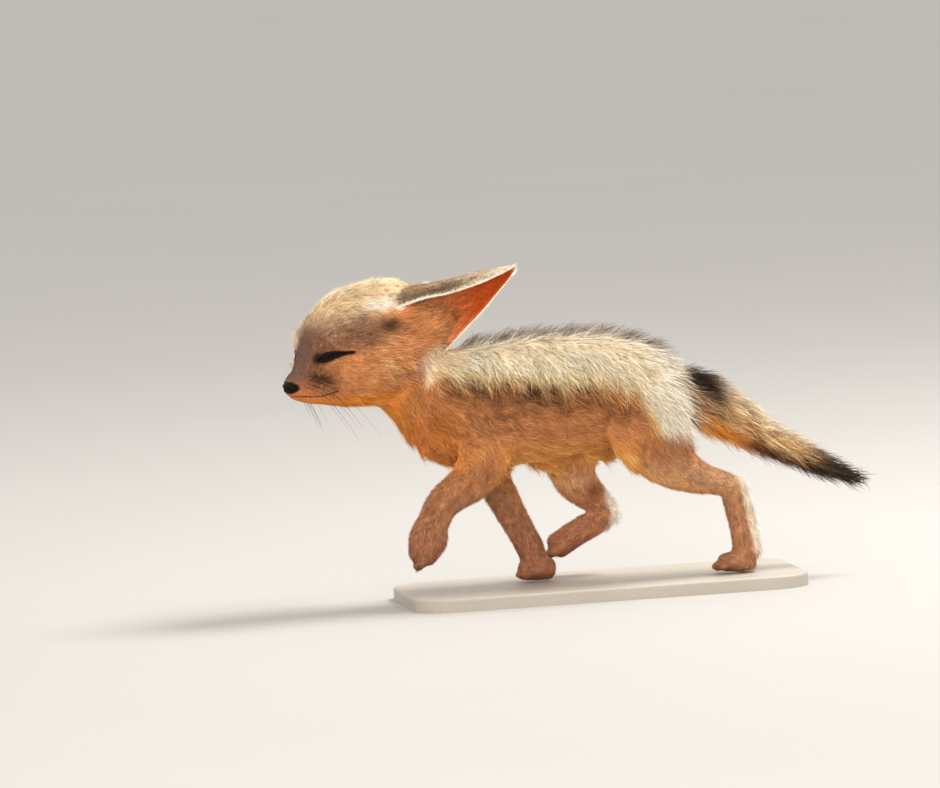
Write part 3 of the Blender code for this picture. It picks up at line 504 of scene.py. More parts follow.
def between(stations, steps=4):
    """Catmull-Rom values between stations, which are tuples of one length."""
    rows = np.array(stations, float)
    last = len(rows) - 1
    found = []
    for i in range(last):
        a, b = rows[max(i - 1, 0)], rows[i]
        c, d = rows[i + 1], rows[min(i + 2, last)]
        bend = 2 * a - 5 * b + 4 * c - d
        twist = 3 * b - a - 3 * c + d
        for k in range(steps):
            t = k / steps
            found.append(0.5 * (2 * b + (c - a) * t + bend * t**2 + twist * t**3))
    found.append(rows[-1])
    return np.array(found)


# Meshes


def new_object(name, mesh):
    made = bpy.data.objects.new(name, mesh)
    bpy.context.scene.collection.objects.link(made)
    return made


def settle(obj):
    """Applies the modifiers of obj."""
    bpy.context.view_layer.update()
    graph = bpy.context.evaluated_depsgraph_get()
    mesh = bpy.data.meshes.new_from_object(obj.evaluated_get(graph), depsgraph=graph)
    obj.modifiers.clear()
    obj.data = mesh


def mesh_from(bm, name):
    mesh = bpy.data.meshes.new(name)
    bm.to_mesh(mesh)
    bm.free()
    return mesh


def joined(name, meshes):
    bm = bmesh.new()
    for mesh in meshes:
        bm.from_mesh(mesh)
        bpy.data.meshes.remove(mesh)
    return new_object(name, mesh_from(bm, name))


def read(items, name, width=3, kind=np.float32):
    """One attribute of a mesh's vertices, edges or faces, as rows of width numbers."""
    found = np.empty(len(items) * width, kind)
    items.foreach_get(name, found)
    return found.reshape(-1, width)


def vertex_places(obj):
    return read(obj.data.vertices, "co").astype(float)


def move_vertices(obj, places):
    obj.data.vertices.foreach_set("co", places.astype(np.float32).ravel())


def mesh_of_rings(name, rings):
    """A closed mesh over rings of points, where a ring of one point is a pole."""
    bm = bmesh.new()
    rows = [[bm.verts.new(p) for p in ring] for ring in rings]
    for row, after in zip(rows, rows[1:]):
        if len(row) == 1 or len(after) == 1:
            pole, loop = (row[0], after) if len(row) == 1 else (after[0], row)
            for k in range(len(loop)):
                bm.faces.new((pole, loop[k], loop[(k + 1) % len(loop)]))
            continue
        for k in range(len(row)):
            n = (k + 1) % len(row)
            bm.faces.new((row[k], row[n], after[n], after[k]))
    bmesh.ops.recalc_face_normals(bm, faces=bm.faces)
    return mesh_from(bm, name)


def oval(centre, side, up, half_width, above, below):
    points = []
    for k in range(OVAL_SIDES):
        turn = 2 * math.pi * k / OVAL_SIDES
        height = above if math.sin(turn) > 0 else below
        points.append(centre + side * half_width * math.cos(turn) + up * height * math.sin(turn))
    return points


def loft(stations, coat, cap_start=0.7, cap_end=0.7, place=metres, axes=None):
    """A tube of ovals along the stations, thinner by the coat's depth, with domed ends."""
    rows = between([s if len(s) == 6 else (*s, s[4]) for s in stations])
    centres = [place(*row[:3]) for row in rows]
    rings, frames = [], []
    for i, row in enumerate(rows):
        along = (centres[min(i + 1, len(rows) - 1)] - centres[max(i - 1, 0)]).normalized()
        side = (Vector((0, 1, 0)) - along * along.y).normalized()
        up = side.cross(along)
        if up.z < 0:
            up = -up
        if axes:
            along, side, up = axes
        depth = coat(row[0]) if callable(coat) else coat
        size = [max(v - depth, v * LEAST_FLESH) * MM for v in row[3:]]
        frames.append((along, side, up, size))
        rings.append(oval(centres[i], side, up, *size))
    for at_start, cap in ((True, cap_start), (False, cap_end)):
        i = 0 if at_start else -1
        along, side, up, size = frames[i]
        out = -along if at_start else along
        reach = cap * min(size)
        extra = []
        for angle in CAP_ANGLES:
            turn = math.radians(angle)
            middle = centres[i] + out * reach * math.sin(turn)
            extra.append(oval(middle, side, up, *[v * math.cos(turn) for v in size]))
        extra.append([centres[i] + out * reach])
        rings = extra[::-1] + rings if at_start else rings + extra
    return mesh_of_rings("loft", rings)


# The skin's forms


def head_coat(x):
    back, front = HEAD_COAT_ENDS
    share = min(max((x - back) / (front - back), 0.0), 1.0)
    return HEAD_COAT_BACK + (HEAD_COAT_FRONT - HEAD_COAT_BACK) * share


def head_loft():
    stations = [
        (x, 0.0, level, half, crown - level, level - throat)
        for x, level, half, crown, throat in HEAD_STATIONS
    ]
    return loft(stations, head_coat, *HEAD_CAPS, place=on_head, axes=HEAD_AXES)


def ball_mesh(centre, radii, axes, segments=20, rings=14):
    bm = bmesh.new()
    bmesh.ops.create_uvsphere(bm, u_segments=segments, v_segments=rings, radius=1.0)
    turn = Matrix(axes).transposed().to_4x4()
    sizes = Matrix.Diagonal([r * MM for r in radii] + [1.0])
    bmesh.ops.transform(bm, matrix=Matrix.Translation(centre) @ turn @ sizes, verts=bm.verts)
    return mesh_from(bm, "ball")


def knuckles():
    """For each of the four toes of a paw: its middle, the way it points and its size."""
    for (x, y, z), forward, size in PAWS:
        ahead = Vector(forward).normalized()
        for k in range(4):
            aside = (k - 1.5) * size * TOE_SPACING
            lead = size * TOE_LEAD if k in (1, 2) else 0.0
            yield metres(x, y + aside, z) + ahead * lead * MM, ahead, size


def toes():
    for middle, _, size in knuckles():
        radius = size * TOE_RADIUS - PAW_COAT * 0.5
        yield ball_mesh(middle, (radius * TOE_LENGTH, radius, radius), UPRIGHT)


def brows():
    x, y, z = BROW_CENTRE
    for side in (1, -1):
        yield ball_mesh(on_head(x, y * side, z), BROW_RADII, HEAD_AXES)


def ear_roots():
    """The flesh that fills the root of each ear's cup."""
    for side in (1, -1):
        yield ball_mesh(ear_point(EAR_ROOT_CENTRE, side), EAR_ROOT_RADII, HEAD_AXES)


def soften(obj, weight, rounds):
    """Evens out the mesh where weight, one number a vertex, is high."""
    ends = read(obj.data.edges, "vertices", 2, np.int32)
    a, b = ends.T
    count = len(weight)
    shared = np.bincount(ends.ravel(), minlength=count)
    place = vertex_places(obj)
    for _ in range(rounds):
        for axis in range(3):
            line = place[:, axis]
            total = np.bincount(a, line[b], count) + np.bincount(b, line[a], count)
            place[:, axis] += (total / shared - line) * weight * SOFTENING
    move_vertices(obj, place)


def crease_weight(points):
    """High where two parts of the body meet."""
    shares = np.stack([bone["share"] for bone in survey(points).values()])
    return smooth(*BODY_CREASE, shares.max(0))


def ear_crease_weight(points):
    """High in the root of each ear's cup, and none along its rims."""
    weight = np.zeros(len(points))
    for side in (1, -1):
        root = above_floor(ear_point(EAR_CREASE, side))
        apart = np.linalg.norm(points - root, axis=1)
        weight = np.maximum(weight, smooth(*EAR_CREASE_REACH, apart))
        for row in ear_sheet(side):
            for rim in above_floor([row[0], row[-1]]):
                apart = np.linalg.norm(points - rim, axis=1)
                weight = weight * smooth(*RIM_SPARED, apart)
    return weight


def boolean(target, mesh, operation):
    cutter = new_object("cutter", mesh)
    step = target.modifiers.new("cut", "BOOLEAN")
    step.operation = operation
    step.object = cutter
    step.solver = "MANIFOLD"
    settle(target)
    bpy.data.objects.remove(cutter, do_unlink=True)


def ear_point(point, side):
    point = Vector(point)
    if side < 0:
        point.y = -point.y
        turn = Matrix.Rotation(math.radians(RIGHT_EAR_OUTWARD), 3, "Z")
        drop = Matrix.Rotation(math.radians(-RIGHT_EAR_LOWER), 3, "Y")
        point = RIGHT_EAR_ROOT + drop @ turn @ (point - RIGHT_EAR_ROOT)
    return on_head(*point)


def ear_sheet(side):
    """Rows of points over the ear, from root to tip and from the medial to the lateral rim."""
    lines = []
    for line in EAR_LINES:
        first, second = np.array(line[0]), np.array(line[1])
        lines.append(between([first - (second - first) * EAR_ROOT_REACH, *line], EAR_ROWS))
    rows = []
    for i in range(len(lines[0])):
        rows.append([ear_point(p, side) for p in between([x[i] for x in lines], EAR_COLUMNS)])
    return rows


def ear_normals(rows):
    """For each row, unit vectors towards the hollow of the cup."""
    tall, wide = len(rows), len(rows[0])
    found = []
    for i in range(tall):
        up, down = rows[min(i + 1, tall - 1)], rows[max(i - 1, 0)]
        normals = []
        for j in range(wide):
            across = rows[i][min(j + 1, wide - 1)] - rows[i][max(j - 1, 0)]
            normals.append((up[j] - down[j]).cross(across).normalized())
        hollow = (rows[i][0] + rows[i][-1]) / 2 - rows[i][wide // 2]
        if normals[wide // 2].dot(hollow) < 0:
            normals = [-n for n in normals]
        found.append(normals)
    return found


def ear_mesh(side):
    """A cupped leaf, thickened towards its hollow side and thinner to its tip and rims."""
    rows = ear_sheet(side)
    normals = ear_normals(rows)
    tall, wide = len(rows), len(rows[0])
    bm = bmesh.new()
    outer = [[bm.verts.new(p) for p in row] for row in rows]
    inner = []
    for i in range(tall):
        thick = EAR_THICKNESS * (1.0 - EAR_TIP_THINNING * i / tall)
        ring = []
        for j, (p, n) in enumerate(zip(rows[i], normals[i])):
            rim = min(j, wide - 1 - j) / (wide - 1)
            ring.append(bm.verts.new(p + n * thick * (0.5 + min(rim * 4, 0.5)) * MM))
        inner.append(ring)
    for i in range(tall - 1):
        for j in range(wide - 1):
            bm.faces.new((outer[i][j], outer[i][j + 1], outer[i + 1][j + 1], outer[i + 1][j]))
            bm.faces.new((inner[i][j], inner[i + 1][j], inner[i + 1][j + 1], inner[i][j + 1]))
        for j in (0, wide - 1):
            bm.faces.new((outer[i][j], outer[i + 1][j], inner[i + 1][j], inner[i][j]))
    for i in (0, tall - 1):
        for j in range(wide - 1):
            bm.faces.new((outer[i][j], inner[i][j], inner[i][j + 1], outer[i][j + 1]))
    bmesh.ops.recalc_face_normals(bm, faces=bm.faces)
    return mesh_from(bm, "ear")


def tube(path, across, radii, sides=10):
    """A closed tube along path. radii holds its half width across and its half depth."""
    rings = []
    for i, point in enumerate(path):
        along = (path[min(i + 1, len(path) - 1)] - path[max(i - 1, 0)]).normalized()
        side = (across - along * across.dot(along)).normalized()
        depth = along.cross(side)
        wide, deep = radii[i]
        ring = []
        for k in range(sides):
            turn = 2 * math.pi * k / sides
            out = side * wide * math.cos(turn) + depth * deep * math.sin(turn)
            ring.append(point + out * MM)
        rings.append(ring)
    return mesh_of_rings("tube", [[path[0]], *rings[1:-1], [path[-1]]])


class Surface:
    """Finds points on a mesh."""

    def __init__(self, obj):
        bm = bmesh.new()
        bm.from_mesh(obj.data)
        self.tree = BVHTree.FromBMesh(bm)
        bm.free()

    def hit(self, origin, direction):
        return self.tree.ray_cast(origin, direction.normalized())[0]

    def near(self, point):
        return self.tree.find_nearest(point)[0]


def eye_bow(k):
    """How far the lids part at step k: most near the inner third."""
    t = k / EYE_STEPS
    return math.sqrt(max(0.0, 1 - (2 * t - 1) ** 2)) * (0.62 + 0.45 * t)


def eye_path(face, side, lift=0.0, level=0.0):
    """Points on the face along the slit, raised by lift, or along a lid where level isn't 0."""
    outer = on_head(EYE_OUTER.x, EYE_OUTER.y * side, EYE_OUTER.z)
    inner = on_head(EYE_INNER.x, EYE_INNER.y * side, EYE_INNER.z)
    facing = (FORWARD * 0.7 + LEFT * 0.7 * side).normalized()
    path = []
    for k in range(EYE_STEPS + 1):
        arch = EYE_ARCH * math.sin(math.pi * k / EYE_STEPS)
        aim = outer.lerp(inner, k / EYE_STEPS) + CROWN * (level * eye_bow(k) + arch) * MM
        path.append(face.hit(aim + facing * FACE_RAY * MM, -facing) + facing * lift * MM)
    return path, facing


def eyeball(face, side, grow=0.0):
    path, _ = eye_path(face, side, lift=-EYE_SUNK)
    bows = [eye_bow(k) for k in range(EYE_STEPS + 1)]
    radii = [(EYE_HALF_HEIGHT * bow + grow, EYE_DEPTH * bow + grow) for bow in bows]
    path[0] += (path[0] - path[1]).normalized() * grow * MM
    path[-1] += (path[-1] - path[-2]).normalized() * grow * MM
    return tube(path, CROWN, radii, sides=16)


def lids(face, side):
    for level in (1, -1):
        path, facing = eye_path(face, side, LID_LIFT, level * (EYE_HALF_HEIGHT + LID_RISE))
        for end, after in ((0, 1), (-1, -2)):
            past = (path[end] - path[after]).normalized() * (1.1 + 0.5 * level)
            path[end] = path[end] + (past - facing * 0.9) * MM
        yield tube(path, CROWN, [(LID_RADIUS, LID_RADIUS)] * len(path))


def mouth_path(face):
    half = [Vector(p) for p in MOUTH]
    line = half + [Vector((p.x, -p.y, p.z)) for p in reversed(half[:-1])]
    return [face.near(on_head(*p)) for p in between([tuple(p) for p in line])]


def make_skin():
    """One closed skin over the whole kit, with lids, sockets, mouth line and both ears."""
    meshes = [loft(*row) for row in TRUNK_LOFTS]
    meshes.insert(2, head_loft())
    meshes += [*toes(), *brows(), *ear_roots()]
    meshes.append(ball_mesh(metres(*GROIN_CENTRE), GROIN_RADII, UPRIGHT))
    skin = joined("skin", meshes)
    fuse = skin.modifiers.new("fuse", "REMESH")
    fuse.mode = "VOXEL"
    fuse.voxel_size = VOXEL * MM
    relax = skin.modifiers.new("relax", "SMOOTH")
    relax.factor = 0.5
    relax.iterations = SKIN_SMOOTHING
    settle(skin)
    soften(skin, crease_weight(above_floor(vertex_places(skin))), CREASE_ROUNDS)
    place = vertex_places(skin)
    place[:, 2] = np.maximum(place[:, 2], FLOOR * MM)
    move_vertices(skin, place)
    for side in (1, -1):
        boolean(skin, ear_mesh(side), "UNION")
    soften(skin, ear_crease_weight(above_floor(vertex_places(skin))), EAR_CREASE_ROUNDS)
    face = Surface(skin)
    for side in (1, -1):
        for lid in lids(face, side):
            boolean(skin, lid, "UNION")
    for side in (1, -1):
        boolean(skin, eyeball(face, side, SOCKET_GAP), "DIFFERENCE")
    path = mouth_path(face)
    groove = tube(path, CROWN, [(MOUTH_RADIUS, MOUTH_RADIUS)] * len(path), sides=8)
    boolean(skin, groove, "DIFFERENCE")
    return skin, face


# Soft spots, blends and noises


def blob(radii, *offsets):
    """A soft spot: 1 where every offset is 0, near 0 past its radius."""
    return np.exp(-sum((o / r) ** 2 for o, r in zip(offsets, radii)))


def blend(base, *steps):
    """Turns base towards the value of each step, by a share for each point."""
    found = np.array(base, float)
    for value, share in steps:
        found = found + (np.array(value) - found) * np.clip(share, 0, 1)[:, None]
    return found


def ripple(points, wavelength, seed):
    """A cheap smooth noise from -1 to 1 over points, in millimetres."""
    dice = np.random.default_rng(seed)
    total = np.zeros(len(points))
    for _ in range(6):
        wave = unit(dice.normal(size=3)) * (2 * math.pi / wavelength) * dice.uniform(0.7, 1.4)
        total += np.sin(points @ wave + dice.uniform(0, 6.28))
    return np.clip(total / 3.2, -1, 1)


def grain(points, seed):
    """White noise from 0 to 1, so that neighbouring hairs differ."""
    wave = np.random.default_rng(seed).uniform(40, 90, 3)
    value = np.sin(points @ wave) * 4375.85
    return value - np.floor(value)


# The line inside each part that its fur follows: x, y, z and radius
BONES = {
    "head": [
        (*(on_head(x, 0, level) / MM - Vector((0, 0, FLOOR))), half)
        for x, level, half, _, _ in HEAD_STATIONS
    ],
    "neck": [s[:4] for s in NECK],
    "torso": [s[:3] + (s[4],) for s in TORSO],
    "tail": [s[:4] for s in TAIL],
    "foreleg_left": [s[:4] for s in FORELEG_LEFT + FOREPAW_LEFT[1:]],
    "foreleg_right": [s[:4] for s in FORELEG_RIGHT + FOREPAW_RIGHT[1:]],
    "hindleg_left": [s[:4] for s in HINDLEG_LEFT + METATARSUS_LEFT[1:] + HINDPAW_LEFT[1:]],
    "hindleg_right": [s[:4] for s in HINDLEG_RIGHT + METATARSUS_RIGHT[1:]],
}


# Where a point lies on the body


def survey(points):
    """For each bone: its share of each point and the way it runs there."""
    found = {}
    for name, stations in BONES.items():
        rows = between(stations, 3)
        middles, radii = rows[:, :3], rows[:, 3]
        ways = unit(np.gradient(middles, axis=0))
        gap = np.empty(len(points))
        index = np.empty(len(points), int)
        for start in range(0, len(points), POINTS_AT_ONCE):
            part = slice(start, start + POINTS_AT_ONCE)
            apart = np.linalg.norm(points[part, None] - middles[None], axis=2) / radii
            index[part] = apart.argmin(1)
            gap[part] = apart.min(1)
        found[name] = {"share": np.exp(-BONE_SHARPNESS * (gap**2 - 1)), "way": ways[index]}
    total = sum(bone["share"] for bone in found.values())
    for bone in found.values():
        bone["share"] = bone["share"] / total
    return found


def by_bone(bones, found):
    """The sum of what found gives for the name of each bone, by the bone's share."""
    return sum(found(name) * bone["share"][:, None] for name, bone in bones.items())


class Ears:
    """Which points lie on an ear, and where: from root to tip and from rim to rim."""

    def __init__(self):
        self.samples = []
        for side in (1, -1):
            rows = ear_sheet(side)
            normals = ear_normals(rows)
            for i, row in enumerate(rows):
                for j, p in enumerate(row):
                    u, v = i / (len(rows) - 1), j / (len(row) - 1)
                    ahead = rows[min(i + 1, len(rows) - 1)][j] - rows[max(i - 1, 0)][j]
                    outward = (row[0] - row[-1]).normalized()
                    self.samples.append((p, normals[i][j], u, v, ahead.normalized(), outward))
        self.tree = KDTree(len(self.samples))
        for k, sample in enumerate(self.samples):
            self.tree.insert(sample[0], k)
        self.tree.balance()

    def read(self, points, normals):
        """Share on an ear, hollow side (1) or back (0), place along and across, and the way."""
        count = len(points)
        found = {name: np.zeros(count) for name in ("on", "hollow", "along", "across")}
        found["way"] = np.zeros((count, 3))
        found["outward"] = np.zeros((count, 3))
        head = to_head(points)
        may_be = (head[:, 0] < EARS_BEHIND) & (np.abs(head[:, 1]) > EARS_ASIDE)
        for k in np.nonzero(may_be)[0]:
            place = Vector(points[k]) + Vector((0, 0, FLOOR))
            _, index, apart = self.tree.find(place * MM)
            if apart > EAR_REACH * MM:
                continue
            _, normal, u, v, ahead, outward = self.samples[index]
            found["on"][k] = 1.0
            found["hollow"][k] = 1.0 if normal.dot(Vector(normals[k])) > 0 else 0.0
            found["along"][k], found["across"][k] = u, v
            found["way"][k] = ahead
            found["outward"][k] = outward
        return found


def to_rim(ears):
    return np.minimum(ears["across"], 1 - ears["across"])


def mantle_front(x, z):
    """How far a point lies behind the mantle's front edge."""
    return x - (-108.0 + 24.0 * np.clip((z - 129.0) / 22.0, 0, 1.2) ** 4)


def mantle_share(points):
    """How far a point lies inside the pale mantle, and how high above its ragged border."""
    x, _, z = points.T
    rag = ripple(points * (1, 1, 0.3), 9.0, 3) * 3.0
    border = 111.0 - 0.13 * x + rag - 30.0 * smooth(20, 44, x)
    rear = smooth(18, 40, x)
    inside = smooth(-3 - 9 * rear, 4 + 7 * rear, z - border) * smooth(-2, 3, mantle_front(x, z))
    return inside, z - border


def front_rim(points):
    """High along the mantle's front edge."""
    x, _, z = points.T
    return blob((4.5,), mantle_front(x, z) - 1.5) * smooth(112, 122, z)


# The marks of the coat. Their bare numbers are places and reaches in millimetres, the ends of
# soft steps and the strength of each colour.


def mantle_colour(points, height):
    x, _, z = points.T
    saddle = blob((22, 8), x - 24, z - 122) * smooth(-0.6, 0.7, ripple(points, 8.0, 5))
    return blend(
        GOLD,
        (CREAM, smooth(0, 8, height)),
        (PALE_BUFF, smooth(5, 14, height) * smooth(-106, -80, x)),
        (BROWN, 0.22 * saddle),
        (WHITE, 0.3 * smooth(-82, -98, x) + 0.55 * front_rim(points)),
        (WHITE, 0.7 * smooth(30, 46, x)),
    )


def torso_colour(points):
    """Rust flanks, an orange belly of painted bounce light, the pale mantle over the back and a
    dark band of painted shade under its hanging edge.
    """
    x, _, z = points.T
    mottle = ripple(points, 8.0, 5)
    rough = ripple(points, 5.0, 9)
    shoulder = blob((42, 10), x + 52, z - 105) * smooth(-0.6, 0.6, mottle)
    upper_arm = blob((26, 14), x + 74, z - 96) * smooth(-0.7, 0.4, ripple(points, 5.0, 7))
    hip = blob((16, 8), x - 15, z - 101) * smooth(-0.9, 0.3, mottle)
    inside, height = mantle_share(points)
    # painted shade: a dark band under the mantle's hanging locks, darkest in clumps
    under_mantle_shade = blob((6.0,), height + 2.5) * smooth(-102, -86, x) * smooth(10, -8, x)
    clumps = smooth(0.05, 0.6, ripple(points * (1, 1, 0.6), 12.0, 8) + 0.3 * rough)
    return blend(
        FLANK,
        # painted bounce light: the underside's orange glow
        (BOUNCE_ORANGE, smooth(93, 73, z)),
        (CHEST, smooth(-70, -96, x) * smooth(120, 98, z)),
        (BROWN, 0.68 * shoulder),
        (BROWN, 0.45 * upper_arm),
        (BROWN, 0.85 * hip),
        (mantle_colour(points, height), inside),
        (BROWN, under_mantle_shade * (0.55 + 0.3 * rough)),
        (BLACK, 0.9 * under_mantle_shade * clumps),
    )


def eye_share(x, side, z):
    """1 in the almond of dark hair about the eye's slit, thickest near its inner third."""
    way = EYE_INNER - EYE_OUTER
    t = ((x - EYE_OUTER.x) * way.x + (side - EYE_OUTER.y) * way.y) / (way.x**2 + way.y**2)
    inside = np.clip(t, 0, 1)
    middle = EYE_OUTER.z + inside * way.z + EYE_ARCH * np.sin(math.pi * inside)
    tall = 0.7 + 2.6 * np.sin(math.pi * inside**2.0) ** 0.8
    off = np.abs(z - middle + 0.5 * inside) / tall
    return smooth(1.25, 0.8, off) * smooth(-0.10, 0.03, t) * smooth(1.12, 1.0, t)


class HeadPoints:
    """Points in the head's axes, with the noises that its colours share."""

    def __init__(self, points):
        self.points = points
        self.x, self.y, self.z = to_head(points).T
        self.side = np.abs(self.y)
        self.streak = ripple(points * (0.5, 1, 1), 3.4, 19)
        self.fleck = grain(points, 23)
        rim = 20.5 - 0.24 * (self.x + 10.3)
        below_rim = smooth(-5, -12, self.x) * smooth(17, 21, self.side)
        self.under_ear = below_rim * smooth(rim + 1, rim - 2, self.z)

    def spot(self, place, radii):
        """A soft spot on both sides of the head."""
        x, y, z = place
        return blob(radii, self.x - x, self.side - y, self.z - z)

    def far_spot(self, place, radii):
        """A soft spot on the side away from the camera."""
        x, y, z = place
        return blob(radii, self.x - x, self.y + y, self.z - z)


def cheek_coats(head):
    streaked = smooth(-0.5, 0.5, head.streak)
    under_eye = head.spot((35, 17, -10), (12, 11, 8)) * smooth(-0.8, 0.5, head.streak)
    return [
        # painted bounce light: orange glow under the jaw
        (THROAT_GLOW, smooth(-22, -31, head.z)),
        (PALE_CHEEK, 0.55 * smooth(0, 0.7, head.streak) * smooth(26, 8, head.x)),
        (FLANK, 0.6 * head.spot((30, 25, -10), (12, 9, 9))),
        (PALE_CHEEK, 0.6 * smooth(14, 0, head.x) * smooth(-26, -12, head.z) * streaked),
        (FACE_GREY, 0.7 * under_eye),
    ]


def mask_coats(head):
    """The grey of the forehead and the bridge of the nose, flecked with dark and pale hair."""
    mask = smooth(29, 37, head.x) * smooth(16, 11, head.side) * smooth(-16, -10, head.z)
    band = smooth(-5, 8, head.z + 5 * (head.fleck - 0.5))
    band = np.maximum(band * smooth(29, 18, head.z) * smooth(-6, 14, head.x), 0.8 * mask)
    return [
        (FACE_GREY, 0.92 * band),
        (BROWN, 0.35 * band * smooth(0.0, 0.8, head.streak)),
        (BLACK, 0.4 * band * smooth(0.7, 0.9, head.fleck)),
        (CAP, 0.32 * band * smooth(0.3, 0.1, head.fleck)),
    ]


def crown_coats(head):
    """The pale cap and nape, and the cheek's colours that run up below the ear."""
    ragged = 2.0 * head.streak + 7.0 * (head.fleck - 0.5)
    cap = smooth(13, 27, head.z + 0.25 * np.clip(head.x - 26, 0, 20) + ragged)
    cap = cap * (1 - head.under_ear)
    nape = smooth(-8, -20, head.x) * smooth(5, 18, head.z) * (1 - head.under_ear)
    return [
        (CAP, cap),
        (FACE_GREY, 0.35 * cap * smooth(0.1, 0.8, head.streak) * smooth(-4, 18, head.x)),
        (CREAM, 0.7 * nape),
        (EAR_ORANGE, 0.65 * head.under_ear * smooth(-2, 8, head.z)),
        (PALE_CHEEK, 0.4 * head.under_ear * smooth(-0.2, 0.6, head.streak)),
        (CHEEK, 0.5 * head.under_ear * smooth(8, -2, head.z)),
        (WHITE, 1.6 * head.spot((-5, 25, 24), (10, 8, 3.2))),
    ]


def muzzle_coats(head):
    """The dark ridge of the nose, the patch that the whiskers grow from and the tear line."""
    ridge = smooth(31, 40, head.x) * smooth(12, 4.5, head.side) * smooth(-17, -11, head.z)
    along, off = PATCH_TILT @ np.stack([head.x - 38.0, head.z + 14.3])
    core = blob((9.5, 9, 3.4), along, head.side - 13, off) * (0.35 + 0.8 * head.fleck)
    side_patch = head.spot((40, 12, -12), (10, 9, 8)) * (0.6 + 0.6 * head.fleck)
    return [
        (RIDGE_GREY, 0.95 * ridge),
        (FLEWS, 0.7 * head.spot((47, 8, -15.5), (6, 6, 4))),
        (BROWN, 0.75 * side_patch),
        (BROWN, 0.6 * head.spot((40.5, 12, -7), (5, 6, 6.5))),
        (BLACK, np.minimum(1.4 * core, 0.9)),
    ]


def brow_coats(head):
    """Dark hair over the lid and at the eye's inner corner, and pale fuzz of painted rim light
    on the far brow and cheek.
    """
    return [
        (BROWN, 0.75 * head.spot((36, 15, 2.5), (8, 7, 3.6))),
        (BLACK, np.minimum(1.5 * head.spot((38.5, 12, -1.5), (4, 3.5, 3.2)), 0.95)),
        # painted rim light: pale spots on the far brow and the far cheek only
        (PALE_BUFF, np.minimum(1.2 * head.far_spot((33, 17, 8), (6, 6, 7)), 0.8)),
        (PALE_CHEEK, np.minimum(1.4 * head.far_spot((36, 18, -9), (7, 6, 6)), 0.95)),
    ]


def mouth_coats(head):
    across_rows = 0.85 * head.z - 0.5 * head.x + 0.3 * ripple(head.points, 9.0, 21)
    rows = smooth(0.1, 0.7, np.sin(across_rows * 2 * math.pi / WHISKER_ROW))
    leather = head.spot((52.2, 0, -16.8), (6.8, 7.6, 4.4))
    return [
        (EAR_GLOW_AND_LIP_RED, 0.35 * head.spot((47, 6, -21), (9, 8, 2.2))),
        (BLACK, 0.9 * rows * head.spot((40, 12, -17.5), (9.5, 8, 4.0))),
        (BLACK, 0.75 * head.spot((32, 16, -20), (4, 4, 2.2))),
        (JET, smooth(0.32, 0.42, leather)),
    ]


def ear_root_coats(head):
    entry = head.spot((-5, 31, 11.5), (7.5, 10, 4.0)) * (1.1 + 0.5 * head.fleck)
    return [
        (BLACK, np.minimum(entry, 0.97)),
        (BROWN, 0.6 * head.spot((-11, 30, 9), (15, 12, 6))),
        (BROWN, 0.4 * head.under_ear * smooth(0.1, 0.8, head.streak)),
    ]


def head_colour(points):
    head = HeadPoints(points)
    parts = (cheek_coats, mask_coats, crown_coats, muzzle_coats, brow_coats, mouth_coats)
    coats = [coat for part in (*parts, ear_root_coats) for coat in part(head)]
    coats.append((JET, 0.97 * eye_share(head.x, head.side, head.z)))
    return blend(CHEEK, *coats)


def tail_height(points):
    """Height above the tail's middle line, in millimetres and as a share of its radius."""
    x, _, z = points.T
    rows = np.array(TAIL)
    above = z - np.interp(x, rows[:, 0], rows[:, 2])
    return above, above / np.interp(x, rows[:, 0], rows[:, 4])


def tail_colour(points):
    """Cream with brown above, orange to dark below and a black tip."""
    x = points[:, 0]
    _, level = tail_height(points)
    mottle = ripple(points * (0.6, 1, 1), 7.0, 31)
    fine = ripple(points * (0.3, 1, 1), 3.0, 35)
    low = smooth(-0.10, -0.45, level + 0.15 * mottle)
    return blend(
        TAIL_CREAM,
        (PALE_BUFF, 0.55 * smooth(0.1, 0.7, level + 0.3 * mottle)),
        (BROWN, 0.6 * smooth(-0.1, 0.8, fine) * smooth(76, 92, x)),
        (BROWN, 0.45 * smooth(0.95, 1.15, level) * smooth(70, 90, x)),
        (TAIL_ORANGE, low * smooth(106, 90, x)),
        (RED_BROWN, 0.9 * low * smooth(86, 102, x)),
        (BLACK, 0.6 * low * smooth(94, 110, x)),
        (BLACK, 0.94 * smooth(126, 142, x - 9 * level + 4 * mottle)),
    )


def tail_root_marks(points):
    """The black patch over the tail's root and the brown below it."""
    x = points[:, 0]
    above, _ = tail_height(points)
    rag = 3.0 * ripple(points, 6.0, 33)
    brown = smooth(54, 62, x + rag) * smooth(88, 78, x) * smooth(-9, -2, above + rag)
    black = smooth(54, 59, x + rag) * smooth(84, 76, x + rag) * smooth(2, 8, above + rag)
    return (BROWN, 0.7 * brown), (BLACK, 0.97 * black)


